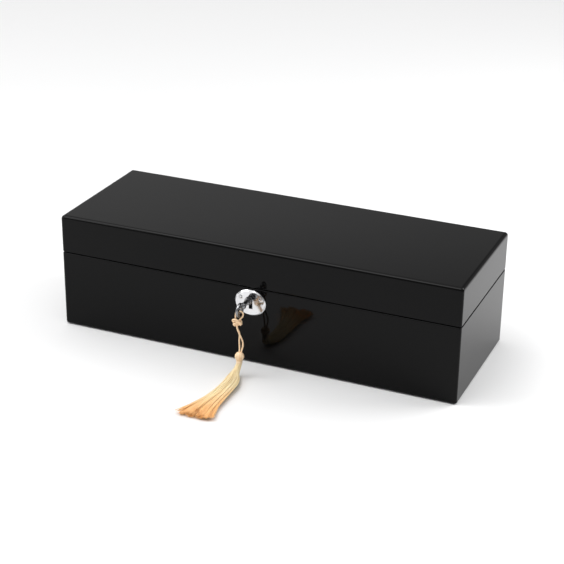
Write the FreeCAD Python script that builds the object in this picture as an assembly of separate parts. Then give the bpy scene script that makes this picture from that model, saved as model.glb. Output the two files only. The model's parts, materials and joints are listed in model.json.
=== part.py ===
import FreeCAD, Part
import math
import os

# Lacquered wind-up music box with a lock, a key on a tassel, a mirrored lid
# and a pinned-cylinder movement in its own bay.
# Millimetres. +X to the right along the front, +Y from the front to the back,
# +Z up. Origin: centre of the underside, on the surface the box stands on.

V = FreeCAD.Vector

# ---------------------------------------------------------------- dimensions
W = 320.0            # length of the box
D = 114.0            # depth of the box
H = 91.0             # overall height, lid closed
T = 9.0              # thickness of the wall boards
FELT = 0.8           # felt sheet under the base
RIM_CASE = 60.7      # height of the case rim
RIM_LID = 61.3       # height of the lid rim, lid closed
R_CORNER = 2.0       # radius of the upright corners
R_TOP = 2.8          # radius round the top of the lid
R_SEAM = 0.8         # radius of the two rims' outer edges
LID_TOP_T = 8.5      # thickness of the lid board
BOTTOM_T = 4.0       # thickness of the bottom board
XI = W / 2 - T       # inner half length
YI = D / 2 - T       # inner half depth
FLOOR_Z = FELT + BOTTOM_T

# movement bay
BAY_X0, BAY_X1 = -XI, -83.0
PART_T = 4.0         # bay partition
DECK_Z0, DECK_Z1 = 17.0, 21.0
WELL_R, WELL_WALL = 20.0, 2.0
WINDOW_Z0, WINDOW_Z1 = 54.0, 56.0

# trays
TRAY_TOP = 52.0
LINING = 1.2
DIV1 = (-21.5, -18.5)
DIV2 = (38.0, 41.0)
ROLLS = 7
ROLL_TOP = 48.0
RISER_TOP = 24.0

# lock and key
KEY_Z = 53.0         # height of the key's axis
PLATE_C = 49.4       # height of the escutcheon's centre
PLATE_A, PLATE_B = 12.4, 10.2   # half axes of the escutcheon
PLATE_X = -0.6       # the plate sits slightly left of its keyhole
PLATE_T = 1.5
LOCK_Y0, LOCK_Y1 = -55.4, -48.6
BIT_R = 7.6
BARREL_R = 1.9
BOW_C = (-77.6, 51.9)           # centre of the bow, y and z
BOW_A, BOW_B = 5.6, 5.4         # half axes of the bow, along the key and upright
BOW_HOLE_Z, BOW_HOLE_R = 52.4, 2.4   # the hole the cord goes through
LOOP_Z = 48.25                  # height of the bow's lower rim, where the cord hangs
BOLT_THROW = 5.0

# hinges
HX = 105.0
HL = 32.0
AX_Y, AX_Z = 59.4, 61.0
KN_R = 2.2

# movement
XB, YB = -133.0, 2.0            # upright axis of the spring barrel
BED_Z0, BED_Z1 = 21.0, 23.5
ZC = 40.8                       # height of the cylinder's axis
CROWN_R, CROWN_N, CROWN_M = 10.8, 36, 0.6
CROWN_PITCH_Z = 36.0
CYL_R = 6.5
CYL_X0, CYL_X1 = -119.8, -100.3
GEAR_N, GEAR_M = 16, 0.6
WHEEL_N, PINION_N, TRAIN_M = 40, 10, 0.4
TRAIN_C = 10.06                 # centre distance of the train
TRAIN_ANG = -26.0               # direction from cylinder to governor arbor, from +Y towards +Z
WW_N = 24                       # worm wheel
COMB_TEETH, COMB_PITCH = 18, 1.05


# ------------------------------------------------------------------- helpers
def box(x0, x1, y0, y1, z0, z1):
    return Part.makeBox(x1 - x0, y1 - y0, z1 - z0, V(x0, y0, z0))


def cyl(r, p, d, h):
    return Part.makeCylinder(r, h, V(*p), V(*d))


def prism(pts, vec):
    w = Part.makePolygon([V(*p) for p in pts] + [V(*pts[0])])
    return Part.Face(w).extrude(V(*vec))


def fuse(a, *rest):
    out = a
    for r in rest:
        out = out.fuse(r)
    return out


def rounded_box(x, y, z0, z1, r):
    b = box(-x, x, -y, y, z0, z1)
    up = [e for e in b.Edges if abs(e.Vertexes[0].Point.z - e.Vertexes[1].Point.z) > 0.1]
    return b.makeFillet(r, up)


def edges_at(shape, z):
    return [e for e in shape.Edges if all(abs(v.Point.z - z) < 1e-6 for v in e.Vertexes)]


def save(name, shape):
    if isinstance(shape, (list, tuple)):
        solids = [s for x in shape for s in x.Solids]
    else:
        solids = shape.Solids
    for s in solids:
        if not s.isValid() or s.Volume <= 0:
            print("BAD", name, s.isValid(), s.Volume)
    out = solids[0] if len(solids) == 1 else Part.makeCompound(solids)
    out.exportStep("parts/%s.step" % name)
    NODES[name] = out


NODES = {}
os.makedirs("parts", exist_ok=True)

# --------------------------------------------------- case and lid boards
case_blank = rounded_box(W / 2, D / 2, FELT, RIM_CASE, R_CORNER)
case_blank = case_blank.makeFillet(R_SEAM, edges_at(case_blank, RIM_CASE) + edges_at(case_blank, FELT))
case_ring = case_blank.cut(box(-XI, XI, -YI, YI, 0, 70))
# rebate for the bottom board
case_ring = case_ring.cut(box(-XI - 4, XI + 4, -YI - 4, YI + 4, 0, FLOOR_Z))

lid_blank = rounded_box(W / 2, D / 2, RIM_LID, H, R_CORNER)
lid_blank = lid_blank.makeFillet(R_TOP - 0.2, edges_at(lid_blank, H))
lid_blank = lid_blank.makeFillet(R_SEAM, edges_at(lid_blank, RIM_LID))
LID_IN = H - LID_TOP_T
lid_top = lid_blank.common(box(-W, W, -D, D, LID_IN, H + 1))
lid_ring = lid_blank.common(box(-W, W, -D, D, 0, LID_IN)).cut(box(-XI, XI, -YI, YI, 0, LID_IN))


def mitre(side):
    """Prism that holds one board of a mitred frame."""
    a, b = W / 2 + 3, D / 2 + 3
    c, d = XI - 3, YI - 3
    z0, h = -5, 120
    if side == "front":
        p = [(-a, -b, z0), (a, -b, z0), (c, -d, z0), (-c, -d, z0)]
    elif side == "back":
        p = [(-a, b, z0), (a, b, z0), (c, d, z0), (-c, d, z0)]
    elif side == "left":
        p = [(-a, -b, z0), (-a, b, z0), (-c, d, z0), (-c, -d, z0)]
    else:
        p = [(a, -b, z0), (a, b, z0), (c, d, z0), (c, -d, z0)]
    return prism(p, (0, 0, h))


case = {s: case_ring.common(mitre(s)) for s in ("front", "back", "left", "right")}
lid = {s: lid_ring.common(mitre(s)) for s in ("front", "back", "left", "right")}

# --------------------------------------------------------------- rim screws
def rim_screw(x, y, z, up, head=1.9, shank=0.95, length=9.0):
    """Countersunk brass wood screw, head flush at z. up = +1 driven upwards, -1 down."""
    s = Part.makeCone(head, shank, head - shank, V(x, y, z), V(0, 0, up))
    s = s.fuse(cyl(shank, (x, y, z + up * (head - shank)), (0, 0, up), length - 2 - (head - shank)))
    s = s.fuse(Part.makeCone(shank, 0.2, 2.0, V(x, y, z + up * (length - 2)), V(0, 0, up)))
    return s


def slotted(s, x, y, z, up, head=1.9):
    return s.cut(box(x - head - 1, x + head + 1, y - 0.22, y + 0.22, min(z, z + up * 0.5) - (0.3 if up > 0 else 0), max(z, z + up * 0.5) + (0.3 if up < 0 else 0)))


case_screws_raw, lid_screws_raw, case_screw_list, lid_screw_list = [], [], [], []
for hx in (-HX, HX):
    for dx in (-11.0, 0.0, 11.0):
        a = rim_screw(hx + dx, 53.0, RIM_CASE, -1)
        b = rim_screw(hx + dx, 53.0, RIM_LID, 1)
        case_screws_raw.append(a)
        lid_screws_raw.append(b)
        case_screw_list.append(slotted(a, hx + dx, 53.0, RIM_CASE, -1))
        lid_screw_list.append(slotted(b, hx + dx, 53.0, RIM_LID, 1))
for sx in (-23.2, 23.2):
    a = rim_screw(sx, -52.0, RIM_CASE, -1, head=1.6, shank=0.85, length=9.0)
    b = rim_screw(sx, -52.0, RIM_LID, 1, head=1.6, shank=0.85, length=9.0)
    case_screws_raw.append(a)
    lid_screws_raw.append(b)
    case_screw_list.append(slotted(a, sx, -52.0, RIM_CASE, -1, head=1.6))
    lid_screw_list.append(slotted(b, sx, -52.0, RIM_LID, 1, head=1.6))
case_screws_all = Part.makeCompound(case_screws_raw)
lid_screws_all = Part.makeCompound(lid_screws_raw)

# ------------------------------------------------------------------- hinges
seg = HL / 5.0
GAP = 0.12
case_leaves, lid_leaves, pins = [], [], []
for hx in (-HX, HX):
    x0 = hx - HL / 2
    cl = box(x0, x0 + HL, 49.5, AX_Y, RIM_CASE - 1.2, RIM_CASE)
    ll = box(x0, x0 + HL, 49.5, AX_Y, RIM_LID, RIM_LID + 1.2)
    for i in range(5):
        a, b = x0 + i * seg + (GAP if i else 0), x0 + (i + 1) * seg - (GAP if i < 4 else 0)
        kn = cyl(KN_R, (a, AX_Y, AX_Z), (1, 0, 0), b - a)
        clear = cyl(KN_R + 0.2, (x0 + i * seg - (GAP if i else 1), AX_Y, AX_Z), (1, 0, 0), seg + (GAP if i else 1) + (GAP if i < 4 else 1))
        if i % 2 == 0:
            cl = cl.fuse(kn)
            ll = ll.cut(clear)
        else:
            ll = ll.fuse(kn)
            cl = cl.cut(clear)
    cl = cl.cut(cyl(1.04, (x0 - 1, AX_Y, AX_Z), (1, 0, 0), HL + 2)).cut(case_screws_all)
    ll = ll.cut(cyl(1.04, (x0 - 1, AX_Y, AX_Z), (1, 0, 0), HL + 2)).cut(lid_screws_all)
    # the outermost knuckles of the lid leaf never reach the neighbouring knuckles
    case_leaves.append(cl.removeSplitter())
    lid_leaves.append(ll.removeSplitter())
    pin = cyl(1.0, (x0 - 0.1, AX_Y, AX_Z), (1, 0, 0), HL + 0.2)
    for e, s in ((x0 - 0.1, -1), (x0 + HL + 0.1, 1)):
        pin = pin.fuse(cyl(1.6, (e, AX_Y, AX_Z), (s, 0, 0), 0.9))
    pins.append(pin)
hinge_pocket_case = [box(hx - HL / 2, hx + HL / 2, 49.5, 60, RIM_CASE - 1.2, RIM_CASE + 1) for hx in (-HX, HX)]
hinge_pocket_lid = [box(hx - HL / 2, hx + HL / 2, 49.5, 60, RIM_LID - 1, RIM_LID + 1.2) for hx in (-HX, HX)]

# --------------------------------------------------------------------- lock
def keyhole(r, half_slot, z_bottom, y0, y1):
    h = cyl(r, (0, y0, KEY_Z), (0, 1, 0), y1 - y0)
    return h.fuse(box(-half_slot, half_slot, y0, y1, z_bottom, KEY_Z))


ST1 = (-12.0, -10.5)    # staples of the strike plate
ST2 = (8.5, 10.0)
STAPLE_Y = (-54.0, -50.0)
STAPLE_Z = 54.6
CX = 20.4
CASE_Z0 = 40.5

selvedge = box(-26, 26, LOCK_Y0, LOCK_Y1, RIM_CASE - 1.2, RIM_CASE)
lock_case = box(-CX, CX, LOCK_Y0, -49.4, CASE_Z0, RIM_CASE - 1.2)
lock_case = lock_case.cut(box(-CX + 0.8, CX - 0.8, LOCK_Y0 + 0.8, -49.4, CASE_Z0 + 0.8, RIM_CASE - 1.2))
lock_case = lock_case.fuse(selvedge)
for a, b in (ST1, ST2):
    lock_case = lock_case.cut(box(a - 0.5, b + 0.5, STAPLE_Y[0] - 0.5, STAPLE_Y[1] + 0.5, 59, 61))
lock_case = lock_case.cut(keyhole(2.7, 1.5, 44.8, LOCK_Y0 - 1, LOCK_Y0 + 0.8))
lock_cover = box(-CX, CX, -49.4, LOCK_Y1, CASE_Z0, RIM_CASE - 1.2)
lock_cover = lock_cover.cut(cyl(1.25, (0, -50, KEY_Z), (0, 1, 0), 2))

lock_pin = cyl(1.2, (0, -56.2, KEY_Z), (0, 1, 0), 56.2 - 48.7)
lock_pin = lock_pin.fuse(cyl(1.8, (0, -49.95, KEY_Z), (0, 1, 0), 0.5))

# bolt: plate with a talon round the key's bit and two hooks that enter the staples
by0, by1 = -53.0, -51.0
bolt = fuse(
    box(-19.0, -7.5, by0, by1, 41.6, 54.2),
    box(-19.0, -17.1, by0, by1, 54.0, 57.8),
    box(-17.2, -12.6, by0, by1, 56.0, 57.8),
    box(-9.0, -7.5, by0, by1, 54.0, 57.8),
    box(-7.6, 7.9, by0, by1, 56.0, 57.8),
    box(-7.6, 8.5, by0, by1, 41.6, 45.0),
    box(-4.2, -1.6, by0, by1, 44.9, 48.3),
    box(3.8, 6.4, by0, by1, 44.9, 48.3),
).removeSplitter()

# strike plate let into the lid rail, with two staples that hang into the lock
strike = box(-26, 26, LOCK_Y0, LOCK_Y1, RIM_LID, RIM_LID + 1.2)
for a, b in (ST1, ST2):
    s = box(a, b, STAPLE_Y[0], STAPLE_Y[1], STAPLE_Z, RIM_LID + 0.1)
    s = s.cut(box(a - 1, b + 1, -53.3, -50.7, 55.6, 58.3))
    strike = strike.fuse(s)
strike = strike.cut(lid_screws_all).removeSplitter()

esc_screw_pos = [(-8.1, KEY_Z + 0.1), (8.1, KEY_Z + 0.1)]
y_face = -D / 2
# escutcheon: oval plate with a bevelled edge
def oval(a, b, y, zc):
    e = Part.Ellipse(V(a, y, zc), V(0, y, zc + b), V(0, y, zc)) if a >= b else None
    return Part.Wire([e.toShape()])


def oval_prism(a, b, zc, y0, y1):
    f = Part.Face(oval(a, b, y0, zc))
    return f.extrude(V(0, y1 - y0, 0))


esc = oval_prism(PLATE_A, PLATE_B, PLATE_C, y_face - 0.7, y_face)
esc = esc.fuse(Part.makeLoft([oval(PLATE_A, PLATE_B, y_face - 0.7, PLATE_C), oval(PLATE_A - 0.9, PLATE_B - 0.9, y_face - PLATE_T, PLATE_C)], True))
esc.translate(V(PLATE_X, 0, 0))
esc_screws, esc_raw = [], []
for x, z in esc_screw_pos:
    yb = y_face - PLATE_T
    s = Part.makeCone(1.7, 0.8, 0.9, V(x, yb, z), V(0, 1, 0)).fuse(cyl(0.8, (x, yb + 0.9, z), (0, 1, 0), 2.8))
    esc_raw.append(s)
    dome = Part.makeSphere(3.2, V(x, yb + 2.7, z)).common(cyl(1.7, (x, yb - 1, z), (0, 1, 0), 1.0))
    head = s.fuse(dome)
    a = math.radians(25 if x < 0 else -35)
    slot = box(-3, 3, yb - 1, yb + 0.15, -0.25, 0.25)
    slot.rotate(V(0, 0, 0), V(0, 1, 0), math.degrees(a))
    slot.translate(V(x, 0, z))
    esc_screws.append(head.cut(slot))
esc_raw_c = Part.makeCompound(esc_raw)
esc = esc.cut(keyhole(2.7, 1.5, 44.8, y_face - 3, y_face + 1)).cut(esc_raw_c)
esc = esc.removeSplitter()

front = case["front"].cut(box(-CX, CX, LOCK_Y0, -40, CASE_Z0, 70)).cut(box(-26, 26, LOCK_Y0, LOCK_Y1, RIM_CASE - 1.2, 70)).cut(box(-26, 26, LOCK_Y1, -40, RIM_CASE - 1.2, RIM_CASE - 1.2 + 0.0001))
front = front.cut(keyhole(3.1, 1.9, 44.2, y_face - 2, LOCK_Y0 + 0.01)).cut(case_screws_all).cut(esc_raw_c)
lock_case = lock_case.cut(case_screws_all).cut(esc_raw_c).removeSplitter()

# ---------------------------------------------------------------------- key
bit = box(-1.0, 1.0, -54.0, -50.4, KEY_Z - BIT_R, KEY_Z)
bit = bit.cut(box(-2, 2, -52.75, -52.15, KEY_Z - BIT_R - 1, KEY_Z - BIT_R + 2.2))
key = cyl(BARREL_R, (0, -73.0, KEY_Z), (0, 1, 0), 73.0 - 50.2)
key = key.fuse(bit)
key = key.fuse(cyl(3.0, (0, -62.6, KEY_Z), (0, 1, 0), 1.2)).fuse(cyl(2.7, (0, -64.2, KEY_Z), (0, 1, 0), 1.0))
bow_t = 1.0
e = Part.Ellipse(V(-bow_t, BOW_C[0] - BOW_A, BOW_C[1]), V(-bow_t, BOW_C[0], BOW_C[1] + BOW_B), V(-bow_t, BOW_C[0], BOW_C[1]))
bow = Part.Face(Part.Wire([e.toShape()])).extrude(V(2 * bow_t, 0, 0))
bow = bow.cut(cyl(BOW_HOLE_R, (-5, BOW_C[0], BOW_HOLE_Z), (1, 0, 0), 10))
try:
    rim = [x for x in bow.Edges if x.Length > 15]
    bow = bow.makeFillet(0.6, rim)
except Exception as err:
    print("bow fillet", err)
key = key.fuse(bow)
key = key.fuse(Part.makeSphere(2.5, V(0, -72.2, KEY_Z)).common(box(-3, 3, -76, -71, KEY_Z - 3, KEY_Z + 3)))
key = key.cut(cyl(BOW_HOLE_R, (-5, BOW_C[0], BOW_HOLE_Z), (1, 0, 0), 10))
key = key.cut(cyl(1.3, (0, -58.5, KEY_Z), (0, 1, 0), 20))
key = key.removeSplitter()

# --------------------------------------------------------- tassel on the key
CORD_D = 1.3


def tube(points, d, radii=None):
    """Straight runs joined by tangent arcs. Returns the solid and prints the radii."""
    pts = [V(*p) for p in points]
    edges, last, out = [], pts[0], []
    for i in range(1, len(pts) - 1):
        a, b, c = pts[i - 1], pts[i], pts[i + 1]
        u, w = (a - b), (c - b)
        la, lc = u.Length, w.Length
        u, w = u * (1 / la), w * (1 / lc)
        turn = math.pi - math.acos(max(-1, min(1, u.dot(w))))
        r = 0.45 * min(la, lc) / math.tan(turn / 2)
        t = r * math.tan(turn / 2)
        p, q = b + u * t, b + w * t
        bis = (u + w)
        bis = bis * (1 / bis.Length)
        centre = b + bis * (r / math.cos(turn / 2))
        mid = centre - bis * r
        if (p - last).Length > 1e-6:
            edges.append(Part.LineSegment(last, p).toShape())
        edges.append(Part.Arc(p, mid, q).toShape())
        last = q
        out.append(round(r, 1))
    edges.append(Part.LineSegment(last, pts[-1]).toShape())
    wire = Part.Wire(edges)
    first = (pts[1] - pts[0])
    prof = Part.Wire([Part.Circle(pts[0], first, d / 2).toShape()])
    solid = wire.makePipeShell([prof], True, False, 2)
    length = wire.Length
    print("cord length %.1f volume %.2f expected %.2f radii %s" % (length, solid.Volume, math.pi * d * d / 4 * length, out))
    return solid


# each strand hangs from the bow's lower rim, runs through the knot, and down into the head
STRAND_R = [(0, -77.6, 51.15), (2.0, -77.6, 51.1), (2.9, -77.6, 49.2), (2.2, -77.6, 46.8), (0.0, -77.8, 44.6), (-1.3, -78.2, 41.8), (-1.9, -78.9, 38.2), (1.0, -79.5, 33.0), (3.5, -79.5, 28.2), (3.5, -79.6, 24.2), (2.5, -79.9, 20.4), (1.8, -80.2, 17.2), (1.8, -80.5, 14.0)]
STRAND_L = [(0, -77.6, 51.15), (-2.0, -77.6, 51.1), (-3.0, -77.6, 49.3), (-3.4, -77.6, 46.9), (-3.3, -77.8, 44.4), (-2.7, -78.0, 41.8), (-2.5, -77.5, 38.2), (0.5, -78.1, 33.2), (0.2, -79.0, 28.4), (0.8, -79.6, 24.2), (1.0, -79.9, 20.4), (0.4, -80.2, 17.2), (0.4, -80.5, 14.0)]
strand_r = tube(STRAND_R, CORD_D)
strand_l = tube(STRAND_L, CORD_D)

KNOT_C = (-2.0, -78.1, 41.9)
knot = Part.makeSphere(1.0)
m = FreeCAD.Matrix()
m.scale(4.1, 2.9, 3.3)
knot = knot.transformGeometry(m)
knot.translate(V(*KNOT_C))
HEAD_C = (1.1, -80.3, 16.0)
head = Part.makeSphere(3.5, V(*HEAD_C))
neck = Part.makeCylinder(2.1, 2.4, V(1.1, -80.4, 13.6), V(0.0, -0.1, -1.0))
head = head.fuse(neck)
both = strand_r.fuse(strand_l)
knot = knot.cut(strand_r).cut(strand_l)
head = head.cut(strand_r).cut(strand_l)
head = max(head.Solids, key=lambda s: s.Volume)
knot = max(knot.Solids, key=lambda s: s.Volume)
# the two strands meet face to face above the bow's rim
strand_r = strand_r.common(box(0, 20, -100, 0, 0, 80))
strand_l = strand_l.cut(strand_r)
strand_l = max(strand_l.Solids, key=lambda s: s.Volume)
strand_r = max(strand_r.Solids, key=lambda s: s.Volume)

SECTIONS = [  # centre, direction, half width, half height
    ((1.1, -80.64, 11.2), (0.0, -0.1, -1.0), 2.1, 2.1),
    ((0.6, -81.1, 8.7), (0.0, -0.35, -1.0), 2.2, 2.2),
    ((0.1, -82.5, 6.2), (0.0, -0.8, -0.7), 2.5, 2.4),
    ((0.0, -85.6, 4.4), (0.0, -1.0, -0.3), 3.3, 2.7),
    ((1.2, -91.8, 3.5), (0.0, -1.0, -0.05), 5.4, 2.9),
    ((2.6, -99.5, 3.3), (0.0, -1.0, 0.0), 6.5, 2.9),
    ((2.9, -110.0, 3.2), (0.0, -1.0, 0.0), 6.6, 2.9),
    ((1.9, -124.0, 3.1), (0.0, -1.0, 0.0), 6.8, 2.7),
    ((0.4, -135.0, 2.9), (0.0, -1.0, 0.0), 8.5, 2.6),
    ((-0.5, -144.0, 2.75), (0.0, -1.0, 0.0), 11.2, 2.45),
    ((-1.2, -151.2, 2.5), (0.0, -1.0, 0.0), 13.2, 2.2),
]


def section(c, d, hw, hh, n=16):
    d = V(*d)
    d = d * (1 / d.Length)
    side = V(1, 0, 0)
    up = side.cross(d)
    up = up * (1 / up.Length)
    if up.z < 0:
        up = up * -1
    pts = []
    for i in range(n):
        t = 2 * math.pi * i / n
        k = 0.8 if math.sin(t) > 0 else 1.0
        cx = math.copysign(abs(math.cos(t)) ** 0.8, math.cos(t))
        sz = math.copysign(abs(math.sin(t)) ** 0.8, math.sin(t))
        pts.append(V(*c) + side * (hw * cx) + up * (hh * sz))
    return Part.makePolygon(pts + [pts[0]])


skirt = Part.makeLoft([section(*s) for s in SECTIONS], True, True)

# ---------------------------------------------------------------- interior
bottom = box(-XI - 4, XI + 4, -YI - 4, YI + 4, FELT, FLOOR_Z)
bottom = bottom.cut(cyl(WELL_R, (XB, YB, 0), (0, 0, 1), 10))
felt = rounded_box(W / 2 - 2.5, D / 2 - 2.5, 0, FELT, 3.0).cut(cyl(WELL_R + 1.0, (XB, YB, -1), (0, 0, 1), 10))
partition = box(BAY_X1, BAY_X1 + PART_T, -YI, YI, FLOOR_Z, 58.0)
well = cyl(WELL_R + WELL_WALL, (XB, YB, FLOOR_Z), (0, 0, 1), DECK_Z0 - FLOOR_Z)
well = well.common(box(-XI, 0, -YI, YI, 0, 40)).cut(cyl(WELL_R, (XB, YB, 0), (0, 0, 1), 30))
cleats = [
    box(BAY_X0, BAY_X1, -YI, -YI + 8, FLOOR_Z, DECK_Z0),
    box(BAY_X0, BAY_X1, YI - 8, YI, FLOOR_Z, DECK_Z0),
    box(BAY_X0, BAY_X1, -YI, -YI + 4, WINDOW_Z0 - 4, WINDOW_Z0),
    box(BAY_X0, BAY_X1, YI - 4, YI, WINDOW_Z0 - 4, WINDOW_Z0),
]
deck = box(BAY_X0, BAY_X1, -YI, YI, DECK_Z0, DECK_Z1).cut(cyl(4.5, (XB, YB, 10), (0, 0, 1), 20))
window = box(BAY_X0 + 0.3, BAY_X1 - 0.3, -YI + 0.3, YI - 0.3, WINDOW_Z0, WINDOW_Z1)
window = window.cut(cyl(7.0, (BAY_X1, 0, 50), (0, 0, 1), 10))

TX0 = BAY_X1 + PART_T
dividers = []
for a, b in (DIV1, DIV2):
    d = box(a, b, -YI, YI, FLOOR_Z, TRAY_TOP)
    top = [e for e in d.Edges if all(abs(v.Point.z - TRAY_TOP) < 1e-6 for v in e.Vertexes) and abs(e.Vertexes[0].Point.y - e.Vertexes[1].Point.y) > 5]
    dividers.append(d.makeFillet(1.2, top))
linings = []
for a, b in ((TX0, DIV1[0]), (DIV1[1], DIV2[0]), (DIV2[1], XI)):
    s = box(a, b, -YI, YI, FLOOR_Z, TRAY_TOP - 1.3)
    linings.append(s.cut(box(a + LINING, b - LINING, -YI + LINING, YI - LINING, FLOOR_Z + LINING, TRAY_TOP)))
rx0, rx1 = DIV2[1] + LINING, XI - LINING
riser = box(rx0, rx1, -YI + LINING, YI - LINING, FLOOR_Z + LINING, RISER_TOP)
pitch = (rx1 - rx0) / ROLLS
rolls = []
for i in range(ROLLS):
    a = rx0 + i * pitch + 0.2
    b = a + pitch - 0.4
    r = (b - a) / 2
    body = box(a, b, -YI + LINING + 0.4, YI - LINING - 0.4, RISER_TOP, ROLL_TOP - r)
    cap = cyl(r, ((a + b) / 2, -YI + LINING + 0.4, ROLL_TOP - r), (0, 1, 0), 2 * (YI - LINING - 0.4))
    rolls.append(body.fuse(cap).removeSplitter())

# lid interior: lining frame with the mirror behind it
MX, MY = 124.0, 37.5
frame = box(-XI + 0.4, XI - 0.4, -YI + 0.4, YI - 0.4, 78.6, LID_IN)
frame = frame.cut(box(-MX + 3, MX - 3, -MY + 3, MY - 3, 70, 90)).cut(box(-MX, MX, -MY, MY, 80.2, LID_IN + 1))
mirror = box(-MX, MX, -MY, MY, 80.2, LID_IN)

# ------------------------------------------------- movement: fixed structure
bed = box(-148.0, -89.5, -26.0, 23.0, BED_Z0, BED_Z1)
up = [e for e in bed.Edges if abs(e.Vertexes[0].Point.z - e.Vertexes[1].Point.z) > 1]
bed = bed.makeFillet(3.0, up)
COMB_X0 = -119.5
ped = box(-121.2, -98.9, -25.0, -17.6, BED_Z1 - 0.01, ZC - 0.5)
bed = bed.fuse(ped)
bed = bed.cut(cyl(3.0, (XB, YB, 20), (0, 0, 1), 10))


def top_screw(x, y, z, depth=6.0):
    """Cheese-head screw standing on z."""
    head_ = cyl(1.8, (x, y, z), (0, 0, 1), 1.3)
    raw = head_.fuse(cyl(0.95, (x, y, z - depth), (0, 0, 1), depth + 0.1))
    return raw, raw.cut(box(x - 3, x + 3, y - 0.25, y + 0.25, z + 0.8, z + 2))


# bridge over the barrel: carries the winding arbor's top and the cylinder's left pivot
br = fuse(
    box(-140, -126, YB - 15.5, YB + 15.5, 43.0, 44.5),
    box(-140, -126, YB - 15.5, YB - 13.0, BED_Z1, 43.1),
    box(-140, -126, YB + 13.0, YB + 15.5, BED_Z1, 43.1),
    box(-129.2, -126.6, YB - 2.6, YB + 2.6, 38.0, 43.1),
)
for s in (-1, 1):   # feet of the bridge
    y0 = YB - 20.5 if s < 0 else YB + 15.4
    br = br.fuse(box(-137.5, -128.5, y0, y0 + 5.1, BED_Z1, BED_Z1 + 1.2))
br = br.cut(cyl(2.06, (XB, YB, 40), (0, 0, 1), 8)).cut(cyl(1.05, (-131, YB, ZC), (1, 0, 0), 6)).removeSplitter()

ga = math.radians(TRAIN_ANG)
GY, GZ = YB + TRAIN_C * math.cos(ga), ZC + TRAIN_C * math.sin(ga)
WORM_X = -96.2
WORM_Y = GY + 5.15 + 1.6 + 0.08

gf = fuse(
    box(-94.2, -92.6, YB - 4.0, YB + 19.5, BED_Z1, 39.0),
    box(-94.2, -92.6, YB - 4.0, YB + 4.0, 38.9, ZC + 3.6),
    box(-94.2, -92.6, WORM_Y - 2.4, WORM_Y + 2.4, 38.9, 42.0),
    box(-102.2, -92.7, YB + 5.6, YB + 19.5, BED_Z1, BED_Z1 + 1.4),
    box(-102.2, -101.0, GY - 1.6, GY + 1.6, BED_Z1, GZ + 1.6),
    box(-98.4, -94.1, WORM_Y - 2.4, WORM_Y + 2.4, 41.0, 42.0),
    box(-92.8, -90.3, YB - 2.0, YB + 8.0, BED_Z1, BED_Z1 + 1.4),
)
gf = gf.cut(cyl(1.05, (-96, YB, ZC), (1, 0, 0), 6)).cut(cyl(0.65, (-104, GY, GZ), (1, 0, 0), 14))
gf = gf.cut(cyl(0.55, (WORM_X, WORM_Y, 40), (0, 0, 1), 4)).cut(cyl(0.55, (WORM_X, WORM_Y, BED_Z1 + 0.6), (0, 0, 1), 3))
gf = gf.removeSplitter()

scr = []
for x, y, z in (
    (-133.0, YB - 18.0, BED_Z1 + 1.2), (-133.0, YB + 18.0, BED_Z1 + 1.2),
    (-117.0, -21.3, ZC + 0.5), (-103.0, -21.3, ZC + 0.5),
    (-99.6, YB + 16.8, BED_Z1 + 1.4), (-91.2 - 0.3, YB + 5.0, BED_Z1 + 1.4),
):
    scr.append(top_screw(x, y, z, 6.0 if z > 40 else 3.2))
# the last two screws sit on the frame's feet
scr_raw = Part.makeCompound([a for a, b in scr])

# comb
comb = box(-121.2, -98.9, -25.0, -17.2, ZC - 0.5, ZC + 0.5)
tip_y = YB - CYL_R - 0.8 - 0.14
for i in range(COMB_TEETH):
    x = COMB_X0 + 0.1 + i * COMB_PITCH
    comb = comb.fuse(box(x, x + 0.8, -17.3, tip_y, ZC - 0.5 + 0.0, ZC + 0.5))
comb = comb.removeSplitter()

mv_screws, mv_raw = [], []
for ang in (90, 210, 330):
    x = XB + 12.5 * math.cos(math.radians(ang))
    y = YB + 12.5 * math.sin(math.radians(ang))
    raw = cyl(2.6, (x, y, DECK_Z0 - 2.0), (0, 0, 1), 2.0).fuse(cyl(1.2, (x, y, DECK_Z0 - 0.1), (0, 0, 1), 6.0))
    mv_raw.append(raw)
    mv_screws.append(raw.cut(box(x - 3, x + 3, y - 0.35, y + 0.35, DECK_Z0 - 3, DECK_Z0 - 1.1)))
mv_raw_c = Part.makeCompound(mv_raw)
deck = deck.cut(mv_raw_c)
bed = bed.cut(mv_raw_c).cut(scr_raw).removeSplitter()
br = br.cut(scr_raw)
gf = gf.cut(scr_raw)
comb = comb.cut(scr_raw)

# ------------------------------------------------------ movement: spring side
arbor = cyl(2.0, (XB, YB, 6.0), (0, 0, 1), 41.0)
ratchet_n, rt, rr = 12, 5.5, 4.5
pts = []
for k in range(ratchet_n):
    for j in range(4):
        a = math.radians(120 + 30 * k + 30 * j / 4.0)
        r = rt - (rt - rr) * j / 4.0
        pts.append((XB + r * math.cos(a), YB + r * math.sin(a), 45.0))
    a = math.radians(120 + 30 * (k + 1) - 0.01)
    pts.append((XB + rr * math.cos(a), YB + rr * math.sin(a), 45.0))
ratchet = prism(pts, (0, 0, 1.4)).cut(cyl(2.0, (XB, YB, 40), (0, 0, 1), 10))
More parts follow.
